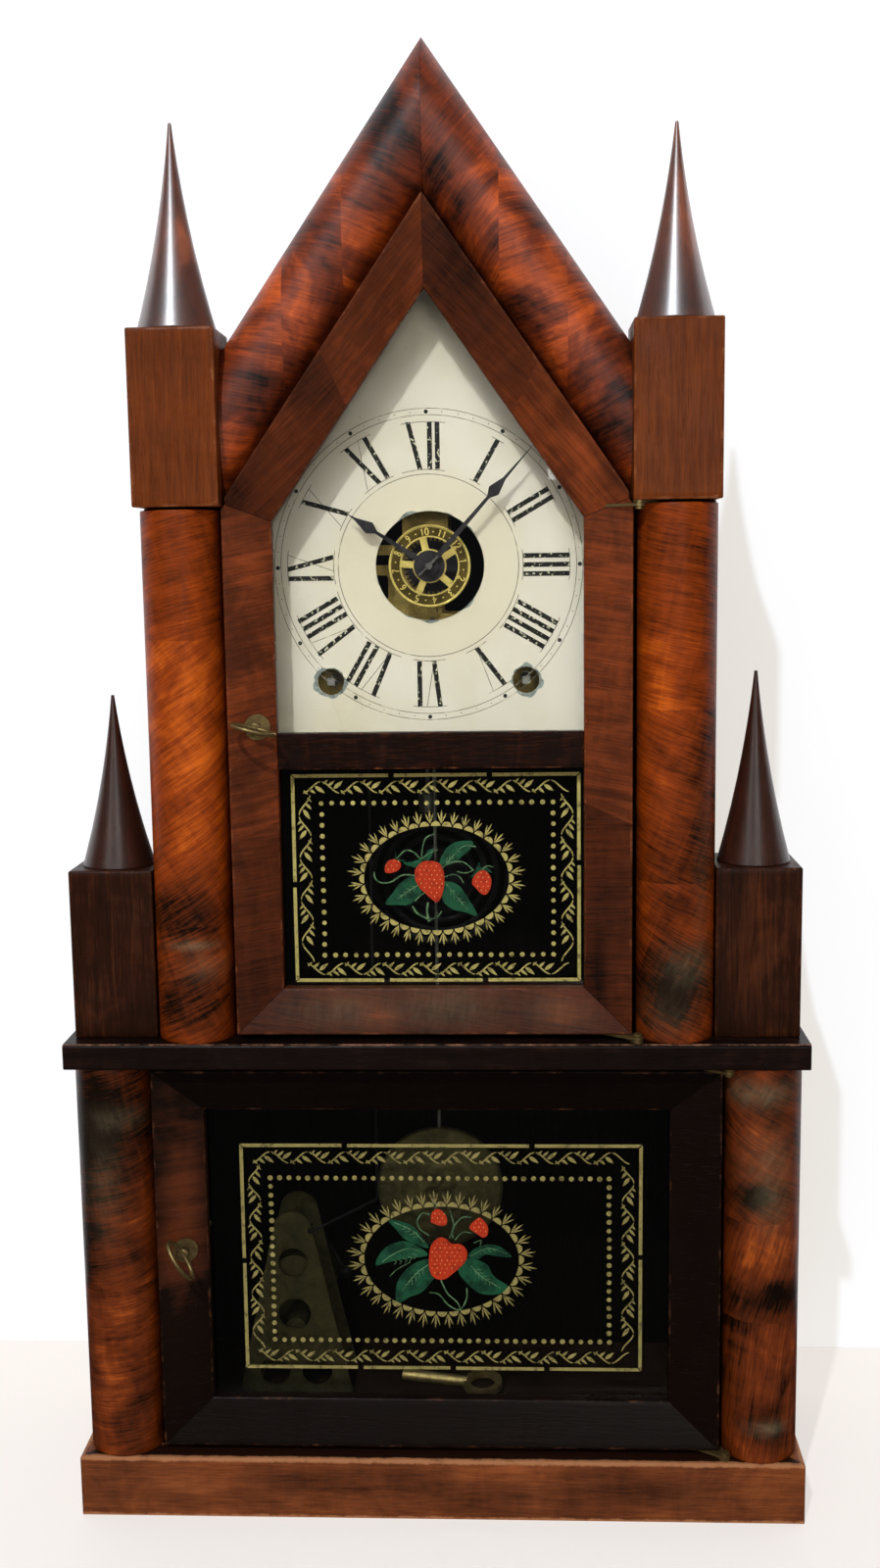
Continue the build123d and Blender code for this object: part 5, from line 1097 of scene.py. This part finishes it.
def from_top(across, out, degrees, x=0.0):
    """A place round the hands: across along the tangent and out along a ray counted from the top."""
    a = radians(degrees)
    return np.array([x + across * cos(a) + out * sin(a), DIAL_CENTRE - across * sin(a) + out * cos(a)])


def bar(x0, x1, hour, width):
    """A straight stroke of a numeral, from the inner circle at x0 to the outer at x1."""
    half = width / 2
    return prism([from_top(x, out, 30 * hour, PRINT_X) for x, out in (
        (x0 - half, HOUR_IN), (x0 + half, HOUR_IN), (x1 + half, HOUR_OUT), (x1 - half, HOUR_OUT))], PRINT, PAINT)


thick_marks, fine_marks = [], []
for hour, word in enumerate(NUMERALS):
    spaces = [LETTER_WIDTH[c] for c in word]
    apart = BAR_STEP - LETTER_WIDTH["I"]
    total = sum(spaces) + apart * (len(word) - 1)
    left = NUDGES.get(hour, 0.0) - total / 2
    x = left
    for letter, wide in zip(word, spaces):
        if letter == "I":
            thick_marks.append(bar(x + wide / 2, x + wide / 2, hour, THICK_STROKE))
        elif letter == "V":
            thick_marks.append(bar(x + wide / 2, x + THICK_STROKE / 2, hour, THICK_STROKE))
            fine_marks.append(bar(x + wide / 2, x + wide - HAIR, hour, HAIR))
        else:
            thick_marks.append(bar(x + wide - THICK_STROKE / 2 - 0.4, x + THICK_STROKE / 2 + 0.2, hour, THICK_STROKE))
            if hour:
                fine_marks.append(bar(x + HAIR, x + wide - HAIR, hour, HAIR))
        x += wide + apart - (CLOSER_TWELVE if hour == 0 and letter == "I" else 0.0)
    for out, grow in ((HOUR_IN - 0.1, 1.6), (HOUR_OUT + 0.1, 1.9)):
        sweep = np.linspace(left - grow, left + total + grow, 9) / out
        arc = [from_top(0, out, 30 * hour + np.degrees(a), PRINT_X) for a in sweep]
        fine_marks.append(strip(arc, HAIR, PRINT))
for radius, width in ((68.8, 0.3), (66.0, 0.3), (40.3, 0.34)):
    fine_marks.append(ringed((PRINT_X, DIAL_CENTRE), radius - width / 2, radius + width / 2, PRINT))
dots = []
for minute in range(60):
    size = HOUR_DOT if minute % 5 == 0 else MINUTE_DOT
    spot = from_top(0, DOT_CIRCLE, 6 * minute, PRINT_X) + rng.uniform(-0.12, 0.12, 2)
    dots.append(prism(circle(spot, size / 2, 10), PRINT, PAINT))


def chip(centre, inner, base, waves, low):
    """A chipped ring round a hole: its outer radius is base + sum of a cos(k angle + p), at least low."""
    outer = base + sum(depth * np.cos(count * whole_turn(96) + phase) for count, depth, phase in waves)
    return ringed(centre, inner, np.maximum(outer, low), PRINT)


chips = [
    chip((-45.5, 385.6), 6.0, 7.2,
         ((1, 0.6, 2.4), (2, 0.5, 0.4), (5, 0.35, 1.0), (9, 0.22, 0.3), (17, 0.12, 2)), 6.25),
    chip((42.5, 385.6), 6.0, 7.0, ((1, 0.5, 0.3), (2, 0.4, 2.2), (4, 0.5, 0.2), (7, 0.4, 2.0), (15, 0.15, 1)), 6.2),
    chip((0, DIAL_CENTRE), 24.2, 24.1, ((2, 0.5, 2.8), (5, 0.5, 2.6), (9, 0.55, 0.9), (16, 0.3, 0.2)), 24.26),
]
for name, shells, material in (
        ("numerals", thick_marks, ink), ("lines", fine_marks, fine_ink), ("dots", dots, hard_ink),
        ("chips", chips, chipped)):
    new_piece(f"dial_{name}", shells, material, "case", smooth=False)

# Alarm disc: numbers, dots and beaded rim, all raised

DISC_FRONT, NUMBER_RADIUS, NUMBER_HEIGHT, NUMBER_WIDTH = -28.4, 15.15, 3.0, 1.55
HUB_RING, GRIME_AND_SHADE_RING, RIM_INNER, RIM_STEPS = (12.75, 13.15), (13.3, 17.1), 17.2, 420
DIGITS = {
    "1": [(0.2, 0.8), (0.55, 1.0), (0.55, 0.0)],
    "2": [(0.02, 0.76), (0.3, 1.0), (0.78, 0.95), (0.9, 0.7), (0.55, 0.35), (0.02, 0.02), (0.96, 0.04)],
    "3": [(0.05, 0.88), (0.5, 1.0), (0.88, 0.76), (0.4, 0.54), (0.92, 0.28), (0.5, 0.0), (0.02, 0.14)],
    "4": [(0.7, 0.0), (0.7, 1.0), (0.02, 0.32), (0.98, 0.32)],
    "5": [(0.88, 0.98), (0.2, 0.98), (0.12, 0.55), (0.62, 0.62), (0.92, 0.3), (0.5, 0.0), (0.04, 0.1)],
    "6": [(0.82, 0.96), (0.3, 0.75), (0.08, 0.3), (0.45, 0.0), (0.9, 0.25), (0.55, 0.52), (0.1, 0.35)],
    "7": [(0.02, 0.96), (0.95, 0.98), (0.55, 0.5), (0.35, 0.0)],
    "8": [(0.5, 0.53), (0.12, 0.78), (0.5, 1.0), (0.88, 0.78), (0.5, 0.53), (0.06, 0.25), (0.5, 0.0), (0.94, 0.25),
     (0.5, 0.53)],
    "9": [(0.9, 0.65), (0.45, 0.46), (0.1, 0.75), (0.5, 1.0), (0.9, 0.7), (0.7, 0.25), (0.2, 0.02)],
}
ROUND = circle((0.5, 0.5), 0.5, 14) * (0.92, 1.0) + (0.04, 0.0)
DIGITS["0"] = np.concatenate([ROUND, ROUND[:1]])
disc_centre = (0, DIAL_CENTRE)
disc_shells = []
for place in range(12):
    word = str((place + 9) % 12 + 1)
    facing = 30 * place - 8
    for i, letter in enumerate(word):
        left = (i - len(word) / 2) * (NUMBER_WIDTH + 0.55) + 0.28
        path = DIGITS[letter] if letter in "147" else eased(DIGITS[letter], 3)
        line = [from_top(left + x * NUMBER_WIDTH, NUMBER_RADIUS + (z - 0.5) * NUMBER_HEIGHT, facing) for x, z in path]
        disc_shells.append(strip(line, 0.5, DISC_FRONT - 0.24, 0.27))
    disc_shells.append(prism(circle(from_top(0, NUMBER_RADIUS, facing + 15), 0.36, 8), DISC_FRONT - 0.2, 0.25))
rim = whole_turn(RIM_STEPS)
bead = 0.22 * np.abs(np.cos(45 * rim))
rings = [at_depth(disc_centre + (r + 0.3 * bead)[:, None] * ray(rim), DISC_FRONT - h - bead * (h > 0.1))
         for r, h in ((RIM_INNER, 0.0), (17.35, 0.12), (17.6, 0.22), (17.95, 0.2), (18.18, 0.05), (18.18, -0.2))]
rings.append(at_depth(disc_centre + RIM_INNER * ray(rim), DISC_FRONT + 0.2))
disc_shells.append(shell(rings, grid_faces(len(rings), RIM_STEPS, ring=True)))
disc_shells.append(ringed(disc_centre, *HUB_RING, DISC_FRONT - 0.15, 0.2))
new_piece("disc_numbers", disc_shells, brass_bright, "alarm_setting", smooth=False)
# A dark band under the raised numbers: tarnish in the hollows, and painted shade round the digits
new_piece("disc_grime_and_shade", [ringed(disc_centre, *GRIME_AND_SHADE_RING, DISC_FRONT - 0.04, 0.06)], brass_dark, "alarm_setting",
          smooth=False)

# Pendulum bob: a lens of thin brass, embossed with scrolls inside a beaded edge
BOB_STEPS = 180
low, high = (numbers(v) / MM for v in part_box("pendulum_bob"))
bob_centre, (bob_radius, bob_deep, _) = (low + high) / 2, (high - low) / 2
share = np.concatenate([np.linspace(0.02, 0.97, 56), [0.985, 1.0]])[:, None]
angle = whole_turn(BOB_STEPS)
scroll = np.cos(5 * angle + 9 * share) * np.cos(7 * share * pi) * np.clip((0.86 - share) * 8, 0, 1)
leafy = np.cos(3 * angle - 14 * share) ** 3 * np.clip((0.6 - share) * 6, 0, 1)
beads = np.cos(54 * angle) * np.exp(-((share - 0.93) / 0.02) ** 2)
lens = (bob_deep - 0.75) * np.sqrt(np.clip(1 - share**2, 0, 1)) + 0.15
relief = lens + (0.22 * scroll + 0.2 * leafy + 0.2 * beads + 0.25) * (share < 0.975)
front_face = bob_centre + np.stack([
    bob_radius * share * np.cos(angle), -relief, bob_radius * share * np.sin(angle)], -1)
back_face = front_face[::-1].copy()
back_face[..., 1] = bob_centre[1] + lens[::-1]
bob = shell(np.concatenate([front_face, back_face]), grid_faces(2 * len(share), BOB_STEPS))
new_piece("embossed_bob", [bob], brass_in_painted_shade, "pendulum", ("pendulum_bob",))

# Latches: a round wire bow on its collar, shaft and catch


def latch(name, centre, tilt, body):
    """Bow: points c + (a cos t) across + (b sin t) y, each with a round section square to the ring."""
    front, back = (v[1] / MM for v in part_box(name))
    wide, deep, wire, catch = 10.5, 7.2, 1.0, 1.4
    bow_y = front + deep
    collar = bow_y + deep - 1.4
    across, straight = numbers([-cos(radians(tilt)), 0, sin(radians(tilt))]), numbers([0, 1, 0])
    t, s = whole_turn(48)[:, None, None], whole_turn(12)[:, None]
    a, b = wide - wire, deep - wire
    path = a * np.cos(t) * across + b * np.sin(t) * straight
    out = unit(b * np.cos(t) * across + a * np.sin(t) * straight)
    section = wire * (np.cos(s) * out + np.sin(s) * np.cross(across, straight))
    shells = [shell((centre[0], bow_y, centre[1]) + path + section, grid_faces(48, 12, ring=True))]
    for radius, start, stop in ((1.75, collar + 2.0, back), (2.6, collar, collar + 2.6)):
        long = stop - start
        rim = [(radius * 0.2, 0.0), (radius - 0.25, 0.0), (radius, 0.25), (radius, long - 0.1), (radius * 0.2, long)]
        shells.append(turned(rim, (centre[0], start, centre[1]), 20, (0, 1, 0)))
        shells[-1][2].clear()
    facing = 90 - tilt
    near = centre + 2.6 * toward(np.linspace(facing + 90, facing + 270, 9))
    far = centre + 7.5 * toward(facing) + 2.0 * toward(np.linspace(facing - 90, facing + 90, 9))
    shells.append(prism(np.concatenate([near, far]), back - catch, catch))
    new_piece("wire_" + name, shells, brass_old, body, (name,))


latch("upper_latch", (-75.8, 368.0), 14.0, "upper_catch")
latch("lower_latch", (-116.2, 126.4), 58.0, "lower_catch")

# Materials of the solids that stay
SOLID_FINISH = {
    shelf_wood: ["shelf"],
    front_boards: ["lower_front_frame", "upper_front_frame"],
    side_wood: ["lower_sides", "upper_sides", "roof_boards"],
    back_pine_painted_shade: ["back_boards"],
    floor_pine: ["base_board"],
    brass_old: ["case_hinge_leaves", "upper_door_hinge_leaves", "lower_door_hinge_leaves", "upper_latch_plate",
                "lower_latch_plate", "winding_key"],
    brass_in_painted_shade: ["alarm_bell", "alarm_movement"],
    brass_plate: ["front_plate", "back_plate", "plate_pillars", "escape_wheel"],
    steel_bright: ["time_winding_arbor", "strike_winding_arbor"],
    brass_bright: ["alarm_disc"],
    steel: ["centre_arbor", "verge", "pendulum_rod", "strike_hammer"],
    blued: ["minute_hand", "hour_hand"],
    # The alarm hammer is given this dark iron as painted shade inside the case
    iron: ["gong", "gong_base", "alarm_hammer", "alarm_trip_wire"],
    dial_cream: ["dial"],
    pane_glass: ["dial_glass"],
    tablet_glass: ["upper_tablet", "lower_tablet"],
}
for material, names in SOLID_FINISH.items():
    for name in names:
        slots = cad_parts[name].data.materials
        for i in range(len(slots)):
            slots[i] = material
        if not len(slots):
            slots.append(material)

# Studio: lengths in metres
SHEET_HALF, WALL_Y = 4, 0.107


def stage_sheet(name, corners, colour, other, glow, strength):
    """A flat sheet of floor or wall."""
    mesh = bpy.data.meshes.new(name)
    mesh.from_pydata(corners, [], [[0, 1, 2, 3]])
    made, tree, shader = new_material(name)
    drift = noise(object_place(tree), 2.0)
    put(shader, {
        "Base Color": mix(drift, rgb(*colour), rgb(*other)), "Roughness": 0.7, "Specular IOR Level": 0.1,
        "Emission Color": glow, "Emission Strength": strength})
    mesh.materials.append(made)
    sheet = bpy.data.objects.new(name, mesh)
    scene.collection.objects.link(sheet)
    return tree, shader


tree, shader = stage_sheet(
    "floor", [(x, y, 0) for x, y in ((-SHEET_HALF, -SHEET_HALF), (SHEET_HALF, -SHEET_HALF),
                                     (SHEET_HALF, SHEET_HALF), (-SHEET_HALF, SHEET_HALF))],
    (168, 160, 154), (165, 157, 151), (1, 0.96, 0.93, 1), 0.6)
either(tree, light_path(tree, "Is Glossy Ray"), shader,
       add(tree, "ShaderNodeBsdfDiffuse", {"Color": (0.02, 0.019, 0.018, 1)}))
tree, shader = stage_sheet(
    "wall", [(x, WALL_Y, z) for x, z in ((-SHEET_HALF, 0), (SHEET_HALF, 0), (SHEET_HALF, SHEET_HALF),
                                         (-SHEET_HALF, SHEET_HALF))],
    (185, 192, 208), (182, 189, 205), (1, 0.93, 0.79, 1), 0.58)
either(tree, add(tree, "ShaderNodeNewGeometry").outputs["Backfacing"], shader,
       add(tree, "ShaderNodeBsdfTransparent"))


def lamp(name, place, size, power, colour, aim=(0, 0, 0.35)):
    """A square lamp that looks at the case."""
    data = bpy.data.lights.new(name, "AREA")
    data.size, data.energy, data.color = size, power, colour
    made = bpy.data.objects.new(name, data)
    scene.collection.objects.link(made)
    made.location = place
    made.rotation_euler = (Vector(aim) - Vector(place)).to_track_quat("-Z", "Y").to_euler()


lamp("key", (-0.5, -2.05, 2.3), 0.05, 50, (0.88, 0.94, 1.0))
lamp("side", (0.5, -2.8, 1.0), 0.8, 11, (1, 0.97, 0.92))
lamp("left", (-1.3, -2.5, 1.0), 0.8, 7, (1, 0.97, 0.92))
world = bpy.data.worlds.new("studio")
world.use_nodes = True
scene.world = world
put(world.node_tree.nodes["Background"], {
    0: (0.95, 0.97, 1.0, 1), 1: span(light_path(world.node_tree, "Is Glossy Ray"), 0.0, 1.0, 0.25, 0.05)})
scene.view_settings.view_transform = "Standard"

# Camera, fitted to the photograph's straight lines
yaw, pitch, roll = 0.046, -0.140, 0.014
turn_z = np.array([[cos(yaw), -sin(yaw), 0], [sin(yaw), cos(yaw), 0], [0, 0, 1]])
turn_x = np.array([[1, 0, 0], [0, cos(pitch), -sin(pitch)], [0, sin(pitch), cos(pitch)]])
turn_y = np.array([[cos(roll), 0, sin(roll)], [0, 1, 0], [-sin(roll), 0, cos(roll)]])
basis = np.eye(4)
basis[:3, :3] = (turn_z @ turn_x @ turn_y)[:, [0, 2, 1]] * (1, 1, -1)
basis[:3, 3] = 0.036155, -0.742686, 0.4399
camera_data = bpy.data.cameras.new("camera")
camera_data.sensor_fit = "VERTICAL"
camera_data.sensor_height = 36.0
camera_data.lens = 1628.71 / 1600 * 36.0
camera_data.clip_start = 0.05
camera = bpy.data.objects.new("camera", camera_data)
scene.collection.objects.link(camera)
camera.matrix_world = Matrix(basis.tolist())
scene.camera = camera
